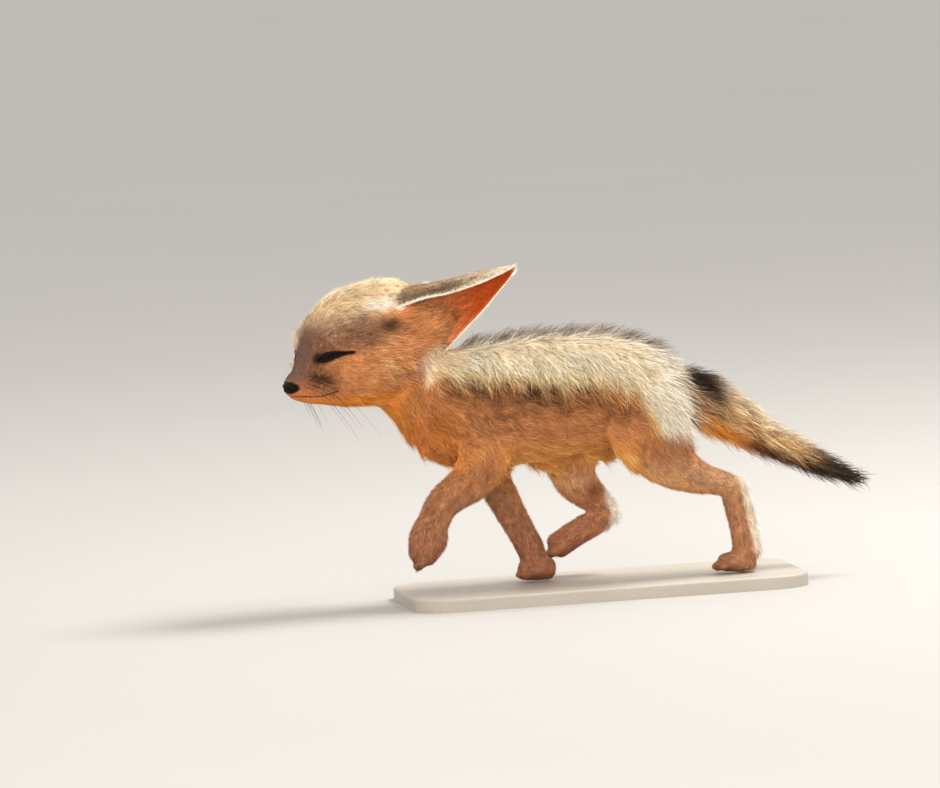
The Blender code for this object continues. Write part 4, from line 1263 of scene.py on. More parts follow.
def leg_colour(name, points, normals):
    x, y, z = points.T
    mottle = smooth(-0.2, 0.8, ripple(points, 6.0, 41))
    colour = blend(
        LEG_TAN,
        (PAW_TAN, smooth(45, 20, z)),
        # painted bounce light: orange on the legs' lower sides that face back
        (BOUNCE_ORANGE, 0.5 * smooth(0.3, 0.9, normals[:, 0]) * smooth(30, 60, z)),
        (THIGH_TAN, smooth(48, 72, z)),
        (BROWN, 0.36 * mottle * smooth(100, 80, z)),
        (BROWN, 0.8 * smooth(-0.1, -0.65, normals[:, 2]) * smooth(24, 15, z)),
    )
    if name.startswith("hindleg"):
        # painted bounce light: orange on the hind legs' downward-facing sides
        below = (BOUNCE_ORANGE, 0.6 * smooth(-0.1, -0.8, normals[:, 2]) * smooth(40, 60, z))
        colour = blend(colour, below, (CREAM, 0.15 * smooth(46, 56, z) * smooth(80, 60, z)))
    if name == "hindleg_left":
        # painted rim light: white on the left heel's hair fringe, on the sides that face back
        heel = smooth(0.5, 4.5, x - (88.3 - 0.148 * z)) * smooth(0.0, 0.45, normals[:, 0])
        white = (WHITE, heel * smooth(6, 14, z) * smooth(72, 60, z))
        colour = blend(colour, white, (PALE_CHEEK, 0.3 * smooth(72, 82, x) * smooth(60, 50, z)))
    if name == "hindleg_right":
        # painted rim light: white on the right heel's back, on the sides that face back
        white = (WHITE, smooth(8, 13, x) * smooth(0.0, 0.4, normals[:, 0]))
        shadow = (RED_BROWN, 0.9 * blob((7, 12, 6), x - 3, y - 26, z - 51))
        # painted light: FAR_LEG_LIGHT brightens the far hind leg, and the red-brown spot is
        # painted shadow
        colour = blend(np.clip(colour * FAR_LEG_LIGHT, 0, 0.95), white, shadow)
    return colour


def ear_colour(ears):
    """Orange in the hollow, reddening with painted light shining through the ear and with
    painted shade under the rim's fold, a white rim, and grey on the back with painted shadow
    beside the curled rim.
    """
    along, across = ears["along"], ears["across"]
    leaf = np.stack([across * 80 + along * 20, along * 14, np.zeros(len(along))], axis=1)
    streak = ripple(leaf, 5.0, 91)
    fold = ripple(leaf * (1.6, 1.0, 1.0), 5.0, 93)
    # painted shadow: dark band on the ear's back beside the curled medial rim, nearer the root
    dark = smooth(0.02, 0.05, across) * smooth(0.17, 0.09, across + 0.05 * streak)
    dark = dark * smooth(0.10, 0.2, along) * smooth(0.75, 0.45, along)
    # painted shade: dark line in the hollow under the rim's fold, nearer the tip
    edge = blob((0.03,), across - 0.11) * smooth(0.5, 0.65, along) * smooth(0.93, 0.85, along)
    inside = blend(
        EAR_ORANGE,
        (PALE_CHEEK, 0.75 * smooth(0.55, 0.2, along) * smooth(-0.1, 0.5, streak)),
        # painted light: red of light shining through the ear, growing towards the tip
        (EAR_GLOW_AND_LIP_RED, smooth(0.25, 0.7, along + 0.3 * (across - 0.6) + 0.08 * streak)),
        (BROWN, 0.45 * smooth(0.1, 0.8, fold) * smooth(0.95, 0.5, along)),
        (BROWN, 0.85 * edge),
    )
    rim = smooth(0.045, 0.02, to_rim(ears))
    return blend(
        EAR_BACK,
        (CREAM, 0.6 * smooth(0.35, 0.1, along)),
        (WHITE, 0.5 * smooth(0.5, 0.9, along)),
        (BROWN, 0.75 * smooth(0.0, 0.6, streak) * smooth(0.95, 0.55, along)),
        (BLACK, 0.7 * dark),
        (inside, ears["hollow"]),
        (WHITE, np.maximum(rim, smooth(0.95, 0.98, along))),
    )


def coat_colour(points, normals, bones, ears):
    """The markings, which the skin and the coat share."""
    torso, head = torso_colour(points), head_colour(points)
    inside, _ = mantle_share(points)
    neck = blend(head, (torso, smooth(-113, -100, points[:, 0])), (torso, inside))
    trunk = {"torso": torso, "neck": neck, "head": head, "tail": tail_colour(points)}

    def found(name):
        if name in trunk:
            return trunk[name]
        to_torso = (torso, smooth(76, 92, points[:, 2]))
        return blend(leg_colour(name, points, normals), to_torso)

    on_ear = (ear_colour(ears), ears["on"])
    return blend(by_bone(bones, found), *tail_root_marks(points), on_ear)


# The way the coat lies


def along_skin(ways, normals):
    return ways - normals * (ways * normals).sum(1, keepdims=True)


def torso_flow(points):
    """Back along the flanks, hanging on the mantle and forward at its front edge."""
    x, y, z = points.T
    ones = np.ones(len(x))
    outward = np.sign(y) * smooth(1, 12, np.abs(y))
    back = np.stack([ones, 0.15 * outward, -0.45 * ones], axis=1)
    hanging = np.stack([0.42 * ones, 0.35 * outward, -ones], axis=1)
    mantle = blend(hanging, (MANTLE_REAR_WAY, smooth(-10, 40, x)))
    inside, _ = mantle_share(points)
    chest = (CHEST_WAY, smooth(-75, -100, x) * smooth(125, 105, z))
    return blend(back, (mantle, inside), chest, (RIM_WAY, front_rim(points)))


def head_flow(points):
    """Away from the nose, and up into the root of the ear."""
    x, y, z = to_head(points).T
    drop = 0.15 + 0.3 * smooth(20, 0, x) * smooth(10, -5, z)
    away = unit(points - above_floor(on_head(*NOSE_CENTRE))) - drop[:, None] * np.array(CROWN)
    to_ear = smooth(-4, -14, x) * smooth(14, 20, np.abs(y)) * smooth(-12, 0, z)
    aside = np.array(LEFT) * np.sign(y)[:, None]
    return blend(away, (np.array(CROWN) * 0.35 - np.array(FORWARD) * 0.9 + 0.3 * aside, to_ear))


def ear_flow(ears):
    """To the tip, and in the hollow and at the rims outwards too."""
    off_middle = (0.5 - ears["across"])[:, None]
    inner = ears["way"] + ears["outward"] * off_middle * 1.2
    over_rim = ears["way"] + ears["outward"] * np.sign(off_middle) * 0.5
    ways = np.where(ears["hollow"][:, None] > 0, inner, ears["way"])
    return blend(ways, (over_rim, smooth(0.06, 0.03, to_rim(ears))))


def coat_flow(points, normals, bones, ears):
    """The way the coat lies, along the skin."""
    x, _, z = points.T
    neck = blend(unit(bones["neck"]["way"] + NECK_DROP), (RIM_WAY, front_rim(points)))
    trunk = {"torso": torso_flow(points), "neck": neck, "head": head_flow(points)}
    flow = by_bone(bones, lambda name: unit(trunk.get(name, bones[name]["way"])))
    flow = np.where(ears["on"][:, None] > 0, ear_flow(ears), flow)
    curly = 0.22 + 0.5 * blob((36, 12), x + 68, z - 104)
    swirl = ripple(points, 14.0, 51) * curly + ripple(points, 6.0, 53) * curly * 0.4
    swirl = swirl[:, None] * unit(np.cross(normals, flow))
    flow = flow + swirl * np.linalg.norm(flow, axis=1, keepdims=True)
    return unit(along_skin(flow, normals))


# How long the hair is


def head_hair(points):
    x, y, z = to_head(points).T
    side = np.abs(y)
    far = smooth(4, -4, y)
    brow_hair = blend(BROW_HAIR, (FAR_BROW_HAIR, far))
    return blend(
        CHEEK_HAIR,
        (CROWN_HAIR, smooth(2, 16, z)),
        (MUZZLE_HAIR, smooth(2, 40, x)),
        (brow_hair, blob((9, 9, 9), x - 33, side - 15, z - 8) * (0.5 + 0.5 * far)),
        (brow_hair, blob((9, 9, 8), x - 35, side - 19, z + 9) * (0.35 + 0.65 * far)),
        (LID_HAIR, eye_share(x, side, z)),
        (EAR_JOINT_HAIR, smooth(-8, -16, x) * smooth(16, 21, side) * smooth(-8, 2, z)),
    )


def leg_hair(name, points):
    x, _, z = points.T
    hair = blend(LEG_HAIR, (PAW_HAIR, smooth(35, 12, z)), (TORSO_HAIR, 0.8 * smooth(62, 88, z)))
    if name in HEELS:
        heel = smooth(*HEELS[name], x) * smooth(70, 50, z)
        hair = hair + np.array(HEEL_EXTRA) * heel[:, None]
    return hair


def ear_hair(ears):
    root = ears["hollow"] * smooth(0.42, 0.1, ears["along"]) * smooth(0.05, 0.2, ears["across"])
    return blend(EAR_HAIR, (EAR_ROOT_HAIR, root), (RIM_HAIR, smooth(0.05, 0.025, to_rim(ears))))


def coat_hair(points, bones, ears):
    """Length and angle of the hair at each point."""
    x, _, z = points.T
    inside, _ = mantle_share(points)
    ruff = (RUFF_HAIR, front_rim(points))
    rump = smooth(36, 46, x) * smooth(80, 92, z)
    trunk = {
        "torso": blend(TORSO_HAIR, (MANTLE_HAIR, np.maximum(inside, rump)), ruff),
        "neck": blend(NECK_HAIR, (MANTLE_HAIR, inside), ruff),
        "head": head_hair(points),
        "tail": np.array(TAIL_HAIR),
    }
    hair = by_bone(bones, lambda name: trunk[name] if name in trunk else leg_hair(name, points))
    return np.where(ears["on"][:, None] > 0, ear_hair(ears), hair)


# The unwrap


def turn_about(points, name):
    """Angle of each point about its bone, in turns from -0.5 to 0.5, and its place along."""
    middles = between(BONES[name], 3)[:, :3]
    start, end = middles[0], middles[-1]
    axis = unit(end - start)
    along = (points - start) @ axis / np.linalg.norm(end - start)
    index = np.clip(along, 0, 1) * (len(middles) - 1)
    low = np.clip(index.astype(int), 0, len(middles) - 2)
    part = (index - low)[:, None]
    centre = middles[low] * (1 - part) + middles[low + 1] * part
    side = unit(np.cross(axis, (0.0, 0.0, 1.0)) if abs(axis[2]) < 0.9 else np.array((0.0, 1, 0)))
    up = np.cross(side, axis)
    apart = points - centre
    return np.arctan2(apart @ side, -(apart @ up)) / (2 * math.pi), along


def unwrap(points, bones, ears, corners=None, owner=None):
    """Places in the atlas. Where corners are given, owner says which point's part each keeps."""
    names = list(bones)
    choice = np.stack([bones[n]["share"] for n in names]).argmax(0)
    places = points if corners is None else corners
    owner = np.arange(len(points)) if owner is None else owner
    uv = np.zeros((len(places), 2))
    for k, name in enumerate(names):
        mine = np.nonzero(choice[owner] == k)[0]
        turn, along = turn_about(places[mine], name)
        middle, _ = turn_about(points[owner[mine]], name)
        turn = middle + (turn - middle + 0.5) % 1.0 - 0.5
        u0, v0, wide, tall = ATLAS[name]
        uv[mine, 0] = u0 + wide * np.clip(0.04 + 0.92 * (turn + 0.5), -0.04, 1.04)
        uv[mine, 1] = v0 + tall * np.clip(0.06 + 0.88 * along, 0, 1)
    head = to_head(places)
    back, deep, low, high = EAR_WINDOW
    for side, tag in SIDES:
        for hollow, face in ((1, "hollow"), (0, "back")):
            chosen = (ears["on"] > 0) & (ears["hollow"] == hollow)
            chosen &= np.sign(to_head(points)[:, 1]) == side
            mine = np.nonzero(chosen[owner])[0]
            u0, v0, wide, tall = ATLAS[f"ear_{tag}_{face}"]
            uv[mine, 0] = u0 + wide * np.clip((head[mine, 0] - back) / deep, 0, 1)
            uv[mine, 1] = v0 + tall * np.clip((head[mine, 2] - low) / high, 0, 1)
    return uv


# Tufts


def add_colour(mesh, colour):
    layer = mesh.color_attributes.new("coat", "FLOAT_COLOR", "POINT")
    rgba = np.ones((len(colour), 4), np.float32)
    rgba[:, :3] = np.clip(colour, 0.003, 0.98)
    layer.data.foreach_set("color", rgba.ravel())


def add_map(mesh, corners):
    layer = mesh.uv_layers.new(name="OFBake")
    layer.data.foreach_set("uv", corners.astype(np.float32).ravel())


def mesh_from_arrays(name, places, triangles, uv, colour):
    """A mesh with the map OFBake and the colour attribute coat, from arrays."""
    mesh = bpy.data.meshes.new(name)
    mesh.vertices.add(len(places))
    mesh.vertices.foreach_set("co", places.astype(np.float32).ravel())
    mesh.loops.add(triangles.size)
    mesh.loops.foreach_set("vertex_index", triangles.astype(np.int32).ravel())
    mesh.polygons.add(len(triangles))
    mesh.polygons.foreach_set("loop_start", np.arange(0, triangles.size, 3, dtype=np.int32))
    mesh.polygons.foreach_set("use_smooth", np.ones(len(triangles), bool))
    mesh.update(calc_edges=True)
    add_colour(mesh, colour)
    add_map(mesh, uv[triangles.ravel()])
    return mesh


def tuft_triangles(rings):
    """Corner numbers of one closed tuft of three sides."""
    found = [(0, 2, 1)]
    for r in range(rings - 1):
        for k in range(3):
            a, b = 3 * r + k, 3 * r + (k + 1) % 3
            found += [(a, b, b + 3), (a, b + 3, a + 3)]
    tip = 3 * rings
    found += [(tip - 3, tip - 2, tip), (tip - 2, tip - 1, tip), (tip - 1, tip - 3, tip)]
    return np.array(found)


def grow_tufts(name, roots, rings):
    """One mesh of tufts. roots holds arrays: place, normal, flow, pull, length, and so on."""
    place, normal, flow = roots["place"], roots["normal"], roots["flow"]
    length = roots["length"][:, None]
    lift = np.radians(roots["lift"])[:, None]
    side = unit(np.cross(normal, flow))
    layers, tints, patches = [], [], []
    for t, wide in (*rings, (1.0, 0.0)):
        out = np.sin(lift) * t * (1 - TUFT_BOW * t)
        middle = place + flow * length * t * np.cos(lift) + normal * length * out
        middle = middle + roots["pull"] * t * t + side * roots["curl"][:, None] * t * (1.4 - t)
        if t == 0.0:
            middle = middle - normal * ROOT_SUNK
        half = side * roots["width"][:, None] * wide * 0.5
        up = normal * roots["width"][:, None] * wide * TUFT_RIDGE
        ring = [middle + half, middle + up, middle - half] if t < 1 else [middle]
        tint = roots["root_colour"] + (roots["tip_colour"] - roots["root_colour"]) * t
        for k, corner in enumerate(ring):
            layers.append(corner)
            tints.append(tint)
            shift = np.array(((k - 1) * 0.5 if t < 1 else 0.0, t - 0.5)) * PATCH
            patches.append(roots["uv"] + shift)
    places = np.stack(layers, axis=1).reshape(-1, 3)
    places = (places + np.array((0, 0, FLOOR))) * MM
    places[:, 2] = np.maximum(places[:, 2], FLOOR * MM)
    colours = np.stack(tints, axis=1).reshape(-1, 3)
    uv = np.stack(patches, axis=1).reshape(-1, 2)
    first = len(layers) * np.arange(len(place))[:, None, None]
    triangles = (tuft_triangles(len(rings))[None] + first).reshape(-1, 3)
    return new_object(name, mesh_from_arrays(name, places, triangles, uv, colours))


# Growing the coat


class Skin:
    """The skin's triangles, for scattering roots, and the details that its hair keeps off.

    details holds rows of points, the distance that hair keeps from them and the tint there.
    """

    def __init__(self, obj, details):
        mesh = obj.data
        mesh.calc_loop_triangles()
        self.obj = obj
        self.details = details
        self.corners = read(mesh.loop_triangles, "vertices", kind=np.int32)
        self.places = above_floor(vertex_places(obj))
        self.normals = read(mesh.vertices, "normal").astype(float)
        a, b, c = (self.places[self.corners[:, k]] for k in range(3))
        self.areas = 0.5 * np.linalg.norm(np.cross(b - a, c - a), axis=1)
        self.middles = (a + b + c) / 3
        self.face_normals = unit(np.cross(b - a, c - a))

    def scatter(self, density, count):
        """Places and normals of count roots, thicker where the density of a triangle is high."""
        weight = np.cumsum(self.areas * density)
        picked = np.searchsorted(weight, DICE.uniform(0, weight[-1], count))
        picked = np.minimum(picked, len(weight) - 1)
        a, b = DICE.uniform(0, 1, (2, count))
        fold = a + b > 1
        a[fold], b[fold] = 1 - a[fold], 1 - b[fold]
        shares = np.stack([1 - a - b, a, b], axis=1)[:, :, None]
        place = (self.places[self.corners[picked]] * shares).sum(1)
        normal = unit((self.normals[self.corners[picked]] * shares).sum(1))
        return place, normal

    def bare(self, places):
        near = np.zeros(len(places), bool)
        for points, distance, _ in self.details:
            for p in points:
                near |= np.linalg.norm(places - p, axis=1) < distance
        return near

    def finish(self, ears_reader):
        """Colours and unwraps the skin as the coat over it."""
        mesh = self.obj.data
        ears = ears_reader.read(self.places, self.normals)
        colour = coat_colour(self.places, self.normals, survey(self.places), ears) * FUR_SHADE
        for points, distance, tint in self.details:
            apart = np.min([np.linalg.norm(self.places - p, axis=1) for p in points], axis=0)
            colour = blend(colour, (tint, smooth(distance * 1.15, distance * 0.75, apart)))
        add_colour(mesh, colour)
        faces = mesh.polygons
        centres = above_floor(read(faces, "center"))
        normals = read(faces, "normal")
        totals = read(faces, "loop_total", 1, np.int32)
        owner = np.repeat(np.arange(len(faces)), totals.ravel())
        corners = self.places[read(mesh.loops, "vertex_index", 1, np.int32).ravel()]
        ears = ears_reader.read(centres, normals)
        add_map(mesh, unwrap(centres, survey(centres), ears, corners, owner))
        faces.foreach_set("use_smooth", np.ones(len(faces), bool))


def clumped(roots, layer, seed):
    """Pulls the tips of near tufts together, and gives each clump a turn and a shade."""
    dice = np.random.default_rng(seed)
    place = roots["place"]
    count = len(place)
    heads = dice.choice(count, max(8, count // layer["clump"]), replace=False)
    tree = KDTree(len(heads))
    for k, h in enumerate(heads):
        tree.insert(place[h], k)
    tree.balance()
    owner = np.array([tree.find(p)[1] for p in place])
    pull = along_skin((place[heads[owner]] - place) * layer["pull"], roots["normal"])
    reach = roots["length"] * 0.35 / np.maximum(np.linalg.norm(pull, axis=1), 1e-6)
    sway = dice.normal(0, layer["sway"], len(heads))[owner]
    side = np.cross(roots["normal"], roots["flow"])
    sway = (sway + dice.normal(0, layer["frizz"], count)) * roots["length"]
    roots["pull"] = pull * np.minimum(1.0, reach)[:, None] + side * sway[:, None]
    return dice.normal(0, 1, len(heads))[owner]


def coat_roots(skin, layer, density, ears_reader):
    """Everything about each tuft of one layer of the coat."""
    count = layer["count"]
    place, normal = skin.scatter(density, count)
    bones = survey(place)
    ears = ears_reader.read(place, normal)
    hair = coat_hair(place, bones, ears)
    roots = {"place": place, "normal": normal}
    roots["flow"] = coat_flow(place, normal, bones, ears)
    dice = np.random.default_rng(layer["seed"])
    roots["length"] = hair[:, 0] * layer["length"] * dice.uniform(*LENGTH_SPREAD, count)
    roots["lift"] = hair[:, 1] * layer["lift"] * dice.uniform(*LIFT_SPREAD, count)
    roots["width"] = layer["width"] + layer["wider"] * roots["length"]
    roots["curl"] = roots["length"] * dice.normal(0, CURL_SPREAD, count)
    roots["uv"] = unwrap(place, bones, ears)
    shade = clumped(roots, layer, layer["seed"] + 1)
    light = np.exp(layer["shade"] * (1.1 * shade + 0.9 * dice.normal(0, 1, count)))[:, None]
    depth = 1.0 + 0.9 * smooth(8.0, 12.5, hair[:, :1])
    reach = roots["flow"] * hair[:, :1]
    tip = coat_colour(place + reach * 0.9, normal, bones, ears)
    root = coat_colour(place + reach * 0.3, normal, bones, ears)
    roots["tip_colour"] = np.clip(tip * light * layer["tip"], 0, 0.96)
    roots["root_colour"] = root * light * FUR_SHADE**depth
    keep = ~skin.bare(place)
    return {k: v[keep] for k, v in roots.items()}


def hair_density(length):
    """Fewer hairs where they are long and so wide."""
    return 1.0 / (length * (0.15 + 0.03 * length)) ** 0.62


def in_pieces(name, roots, rings):
    """Grows the tufts as meshes of few enough triangles each, from nose to tail."""
    per = PIECE_TRIANGLES // len(tuft_triangles(len(rings)))
    order = np.argsort(roots["place"][:, 0], kind="stable")
    pieces = []
    for k, start in enumerate(range(0, len(order), per)):
        chosen = order[start:start + per]
        part = {n: v[chosen] for n, v in roots.items()}
        pieces.append(grow_tufts(f"{name}_{k + 1}", part, rings))
    return pieces


def darken_spine(guard):
    """Makes the guard hair along the spine dark, longer and more upright."""
    x, y, _ = guard["place"].T
    spine = smooth(4, 2, np.abs(y)) * smooth(-94, -76, x) * smooth(62, 50, x)
    spine *= smooth(0.7, 0.9, guard["normal"][:, 2])
    guard["tip_colour"] = blend(guard["tip_colour"], (BLACK, 0.95 * spine))
    guard["root_colour"] = blend(guard["root_colour"], (BROWN, 0.6 * spine))
    guard["lift"] += 24 * spine
    guard["length"] *= 1 + 0.15 * spine


def grow_coat(skin, reader):
    bones = survey(skin.middles)
    ears = reader.read(skin.middles, skin.face_normals)
    x, y, z = skin.middles.T
    length = coat_hair(skin.middles, bones, ears)[:, 0]
    density = hair_density(length) * (1.0 - 0.97 * (z < SOLE_LEVEL))
    under = coat_roots(skin, UNDERCOAT, density, reader)
    top = coat_roots(skin, TOPCOAT, density, reader)
    spine = smooth(4.5, 2, np.abs(y)) * smooth(-96, -80, x) * smooth(150, 60, x) * (z > 95)
    long_hair = smooth(6.0, 10.0, length) * (0.35 + 1.7 * spine) * (1 - ears["on"])
    guard = coat_roots(skin, GUARD_HAIR, long_hair + 1e-6, reader)
    darken_spine(guard)
    pieces = in_pieces("undercoat", under, SHORT_RINGS)
    pieces += in_pieces("topcoat", top, SHORT_RINGS)
    return pieces + in_pieces("guard_hair", guard, LONG_RINGS)


# Materials


def node_material(name, roughness):
    made = bpy.data.materials.new(name)
    made.use_nodes = True
    tree = made.node_tree
    shader = tree.nodes["Principled BSDF"]
    shader.inputs["Roughness"].default_value = roughness
    return made, tree, shader


def add_texture(tree, kind, scale):
    """A texture in the object's own coordinates."""
    place = tree.nodes.new("ShaderNodeTexCoord")
    texture = tree.nodes.new(kind)
    texture.inputs["Scale"].default_value = scale
    tree.links.new(place.outputs["Object"], texture.inputs["Vector"])
    return texture


def add_noise(tree, scale, detail=3.0):
    noise = add_texture(tree, "ShaderNodeTexNoise", scale)
    noise.inputs["Detail"].default_value = detail
    return noise.outputs["Fac"]


def add_ramp(tree, source, start, end):
    """A ramp from one (position, colour) to another."""
    ramp = tree.nodes.new("ShaderNodeValToRGB")
    for element, (place, colour) in zip(ramp.color_ramp.elements, (start, end)):
        element.position = place
        element.color = (*colour, 1)
    tree.links.new(source, ramp.inputs["Fac"])
    return ramp.outputs["Color"]


def add_bump(tree, shader, height, strength, distance):
    bump = tree.nodes.new("ShaderNodeBump")
    bump.inputs["Strength"].default_value = strength
    bump.inputs["Distance"].default_value = distance
    tree.links.new(height, bump.inputs["Height"])
    tree.links.new(bump.outputs["Normal"], shader.inputs["Normal"])


def multiply(tree, a, b):
    node = tree.nodes.new("ShaderNodeMix")
    node.data_type = "RGBA"
    node.blend_type = "MULTIPLY"
    node.inputs["Factor"].default_value = 1.0
    tree.links.new(a, node.inputs["A"])
    tree.links.new(b, node.inputs["B"])
    return node.outputs["Result"]


def coat_material(name, roughness, bump):
    made, tree, shader = node_material(name, roughness)
    colour = tree.nodes.new("ShaderNodeAttribute")
    colour.attribute_name = "coat"
    tone = add_ramp(tree, add_noise(tree, 900.0), (0.25, COAT_TONE), (0.75, (1, 1, 1)))
    tree.links.new(multiply(tree, colour.outputs["Color"], tone), shader.inputs["Base Color"])
    shader.inputs["Specular IOR Level"].default_value = 0.12
    if bump:
        add_bump(tree, shader, add_noise(tree, 2200.0, 4.0), 0.5, 0.0004)
    return made


def nose_material():
    made, tree, shader = node_material("nose_leather", 0.5)
    shader.inputs["Specular IOR Level"].default_value = 0.09
    cells = add_texture(tree, "ShaderNodeTexVoronoi", 1500.0).outputs["Distance"]
    dark, light = NOSE_TONES
    tone = add_ramp(tree, cells, (0.0, dark), (1.0, light))
    tree.links.new(tone, shader.inputs["Base Color"])
    add_bump(tree, shader, cells, 0.5, 0.0003)
    return made


def clouded_material(name, roughness, scale, tones, specular=None):
    """Two tones in soft clouds."""
    made, tree, shader = node_material(name, roughness)
    if specular is not None:
        shader.inputs["Specular IOR Level"].default_value = specular
    dark, light = tones
    tone = add_ramp(tree, add_noise(tree, scale), (0.3, dark), (0.7, light))
    tree.links.new(tone, shader.inputs["Base Color"])
    return made


def base_material():
    made, tree, shader = node_material("base_paint", 0.55)
    dark, light = BASE_TONES
    cloud = add_ramp(tree, add_noise(tree, 14.0, 5.0), (0.3, dark), (0.7, light))
    specks = add_noise(tree, 1800.0, 4.0)
    speckled = add_ramp(tree, specks, (0.30, BASE_SPECK), (0.62, (1, 1, 1)))
    tree.links.new(multiply(tree, cloud, speckled), shader.inputs["Base Color"])
    add_bump(tree, shader, specks, 0.25, 0.0003)
    return made


def dress(obj, made):
    obj.data.materials.clear()
    obj.data.materials.append(made)
    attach(obj, "root")


# Pieces beside the coat


def make_nose():
    """The nose leather with its nostrils and the groove between them."""
    mesh = ball_mesh(on_head(*NOSE_CENTRE), NOSE_RADII, HEAD_AXES, 56, 40)
    obj = new_object("nose_leather", mesh)
    local = to_head(above_floor(vertex_places(obj))) - np.array(NOSE_CENTRE)
    x, y, z = local.T
    side = np.abs(y)
    front = smooth(0.5, 2.5, x)
    nostril = 1.7 * blob((1.15, 0.95), side - 2.3, z - 0.2 + 0.25 * side)
    slit = 1.0 * blob((0.6, 1.3), side - 3.7, z + 0.7)
    groove = 0.55 * blob((0.35,), y) * smooth(1.6, 0.2, z)
    shoulder = 0.35 * blob((2.4, 1.6), side - 3.0, z - 1.8)
    local[:, 0] += (shoulder - nostril - slit - groove) * front
    world = (local + np.array(NOSE_CENTRE)) @ HEAD_MATRIX + np.array(HEAD_CENTRE)
    move_vertices(obj, world * MM)
    obj.data.shade_smooth()
    dress(obj, nose_material())
    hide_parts("nose")


def make_eyes(face):
    for side, tag in SIDES:
        obj = new_object(f"eyeball_{tag}", eyeball(face, side))
        obj.data.shade_smooth()
        dress(obj, clouded_material("eye", 0.3, 600.0, EYE_TONES, specular=0.12))
        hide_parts(f"eye_{tag}")


def make_lashes(face, reader):
    """Short black lashes from both lids of each eye, laid back over the slit."""
    dice = np.random.default_rng(77)
    places, ways, normals = [], [], []
    for side in (1, -1):
        for level in (1, -1):
            path, facing = eye_path(face, side, LASH_LIFT, level * LASH_LEVEL)
            for _ in range(LASHES_A_LID):
                at = dice.uniform(1.5, EYE_STEPS - 1.5)
                k = int(at)
                places.append(path[k].lerp(path[k + 1], at - k))
                up = CROWN * -level * dice.uniform(0.2, 0.5)
                ways.append(up - FORWARD * 0.8 + LEFT * 0.6 * side)
                normals.append(facing)
    place, normal = above_floor(places), unit(np.array(normals))
    count = len(place)
    roots = {
        "place": place,
        "normal": normal,
        "flow": unit(along_skin(np.array(ways), normal)),
        "length": dice.uniform(1.8, 3.0, count),
        "lift": dice.uniform(6, 22, count),
        "width": np.full(count, LASH_WIDTH),
        "curl": dice.normal(0, 0.15, count),
        "pull": np.zeros((count, 3)),
        "uv": unwrap(place, survey(place), reader.read(place, normal)),
        "root_colour": np.tile(JET, (count, 1)),
        "tip_colour": np.tile(JET, (count, 1)),
    }
    return grow_tufts("lashes", roots, SHORT_RINGS)


def make_claws():
    meshes = []
    for middle, ahead, size in knuckles():
        path, radii = [], []
        start = middle + ahead * (size * 0.3) * MM
        for k in range(CLAW_STEPS + 1):
            t = k / CLAW_STEPS
            place = start + ahead * CLAW_LENGTH * t * MM - Vector((0, 0, CLAW_DROP * t * t)) * MM
            place.z = max(place.z, (FLOOR + CLAW_RADIUS) * MM)
            path.append(place)
            radius = CLAW_RADIUS * (1 - t) ** 0.6
            radii.append((radius * 0.75, radius))
        meshes.append(tube(path, Vector((0, 1, 0)), radii, sides=8))
    obj = joined("claws", meshes)
    obj.data.shade_smooth()
    dress(obj, clouded_material("claw_horn", 0.45, 700.0, CLAW_TONES))


def whisker(face, dice, side, row, column):
    ahead = WHISKERS_START[0] - 2.6 * column - 0.8 * row
    out = WHISKERS_START[1] + 1.2 * column
    root = face.near(on_head(ahead, out * side, WHISKERS_START[2] - 3.0 * row))
    way = Vector((-0.75 - 0.05 * column, 0.42, -0.15 - 0.22 * row))
    way = way + Vector(dice.normal(0, 0.07, 3))
    aim = (FORWARD * way.x + LEFT * way.y * side + CROWN * way.z).normalized()
    length = WHISKER_LENGTH * dice.uniform(0.55, 1.1) * (0.75 + 0.09 * column)
    path, radii = [], []
    for i in range(WHISKER_STEPS + 1):
        t = i / WHISKER_STEPS
        sag = Vector((0, 0, WHISKER_SAG * length * t**1.8)) * MM
        path.append(root + aim * length * t * MM - sag)
        radii.append([WHISKER_RADIUS * (1 - 0.8 * t)] * 2)
    return tube(path, CROWN + FORWARD * 0.3, radii, sides=4)


def make_whiskers(face):
    dice = np.random.default_rng(81)
    meshes = []
    for side in (1, -1):
        for k in range(WHISKERS_A_SIDE):
            meshes.append(whisker(face, dice, side, k % 3, k // 3))
    obj = joined("whiskers", meshes)
    dress(obj, clouded_material("whisker_horn", 0.45, 700.0, WHISKER_TONES))


# Stage and camera


def area_light(name, place, size, power, colour):
    data = bpy.data.lights.new(name, "AREA")
    data.shape = "DISK"
    data.size = size
    data.energy = power
    data.color = colour
    obj = new_object(name, data)
    obj.location = place
    aim = Vector(LIGHT_AIM) - Vector(place)
    obj.rotation_euler = aim.to_track_quat("-Z", "Y").to_euler()


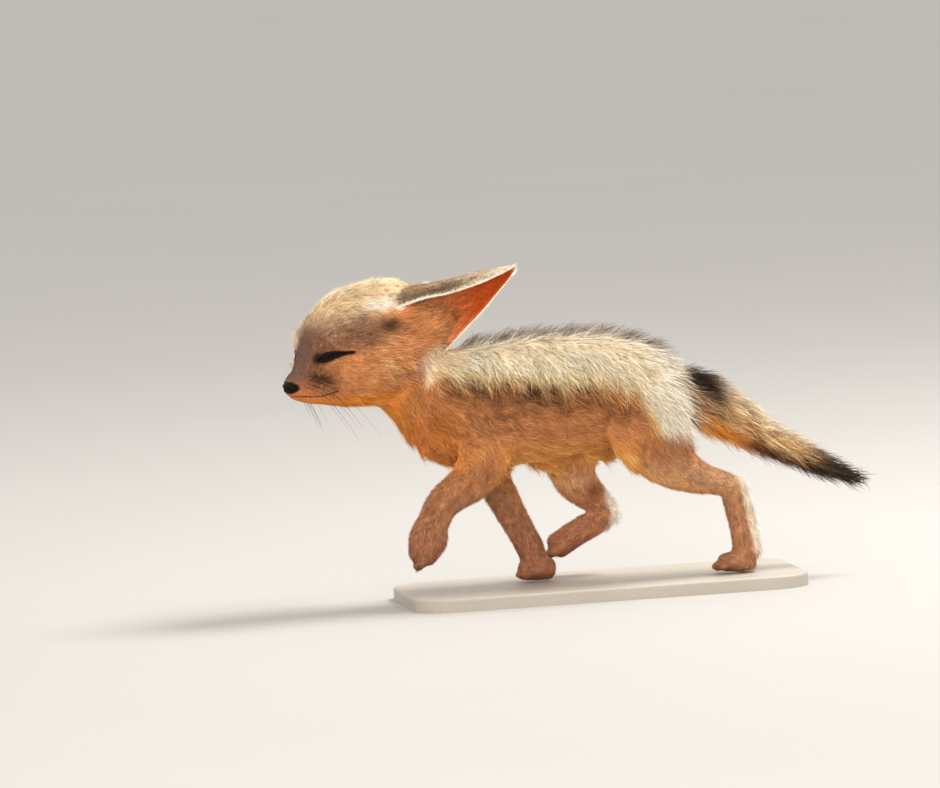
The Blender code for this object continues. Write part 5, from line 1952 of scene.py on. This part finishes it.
def make_stage():
    bm = bmesh.new()
    bmesh.ops.create_grid(bm, x_segments=8, y_segments=8, size=FLOOR_HALF)
    floor = new_object("floor", mesh_from(bm, "floor"))
    floor.data.materials.append(clouded_material("floor_paper", 0.9, 3.0, PAPER_TONES))
    world = bpy.data.worlds.new("studio")
    world.use_nodes = True
    background = world.node_tree.nodes["Background"]
    background.inputs["Color"].default_value = SKY_TINT
    background.inputs["Strength"].default_value = SKY_STRENGTH
    bpy.context.scene.world = world
    for row in LIGHTS:
        area_light(*row)
    bpy.context.scene.view_settings.view_transform = "Standard"


def make_camera():
    azimuth, elevation, roll = (math.radians(v) for v in (AZIMUTH, ELEVATION, ROLL))
    level = math.cos(elevation)
    back = Vector((math.sin(azimuth) * level, -math.cos(azimuth) * level, math.sin(elevation)))
    right = Vector((math.cos(azimuth), math.sin(azimuth), 0))
    up = back.cross(right)
    across = right * math.cos(roll) - up * math.sin(roll)
    upward = right * math.sin(roll) + up * math.cos(roll)
    step = PHOTO_SCALE * MM
    centre = Vector((0, 0, FLOOR * MM))
    centre += across * (PHOTO_WIDTH / 2 - ORIGIN_PIXEL[0]) * step
    centre += upward * (ORIGIN_PIXEL[1] - PHOTO_HEIGHT / 2) * step
    data = bpy.data.cameras.new("camera")
    data.sensor_width = SENSOR
    data.lens = SENSOR * CAMERA_DISTANCE / (PHOTO_WIDTH * step)
    data.clip_start = 0.1
    data.clip_end = 50.0
    camera = new_object("camera", data)
    pose = Matrix((across, upward, back)).transposed().to_4x4()
    pose.translation = centre + back * CAMERA_DISTANCE
    camera.matrix_world = pose
    bpy.context.scene.camera = camera


# The whole scene


def make_coat(skin_obj, face):
    slits = [above_floor(eye_path(face, side)[0][1:-1]) for side in (1, -1)]
    details = [(slit, EYE_CLEAR, JET) for slit in slits]
    details.append((above_floor(mouth_path(face)), MOUTH_CLEAR, LIP_LINE))
    skin, reader = Skin(skin_obj, details), Ears()
    pieces = grow_coat(skin, reader)
    pieces.append(make_lashes(face, reader))
    skin.finish(reader)
    coat = coat_material("coat", 0.72, False)
    for piece in pieces:
        dress(piece, coat)
    dress(skin_obj, coat_material("skin", 0.8, True))
    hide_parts(*FLESH)


def main():
    make_camera()
    make_stage()
    skin_obj, face = make_skin()
    make_coat(skin_obj, face)
    make_eyes(face)
    make_nose()
    make_claws()
    make_whiskers(face)
    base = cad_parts["stand_base"]
    base.data.materials.clear()
    base.data.materials.append(base_material())


main()
bpy.context.view_layer.update()
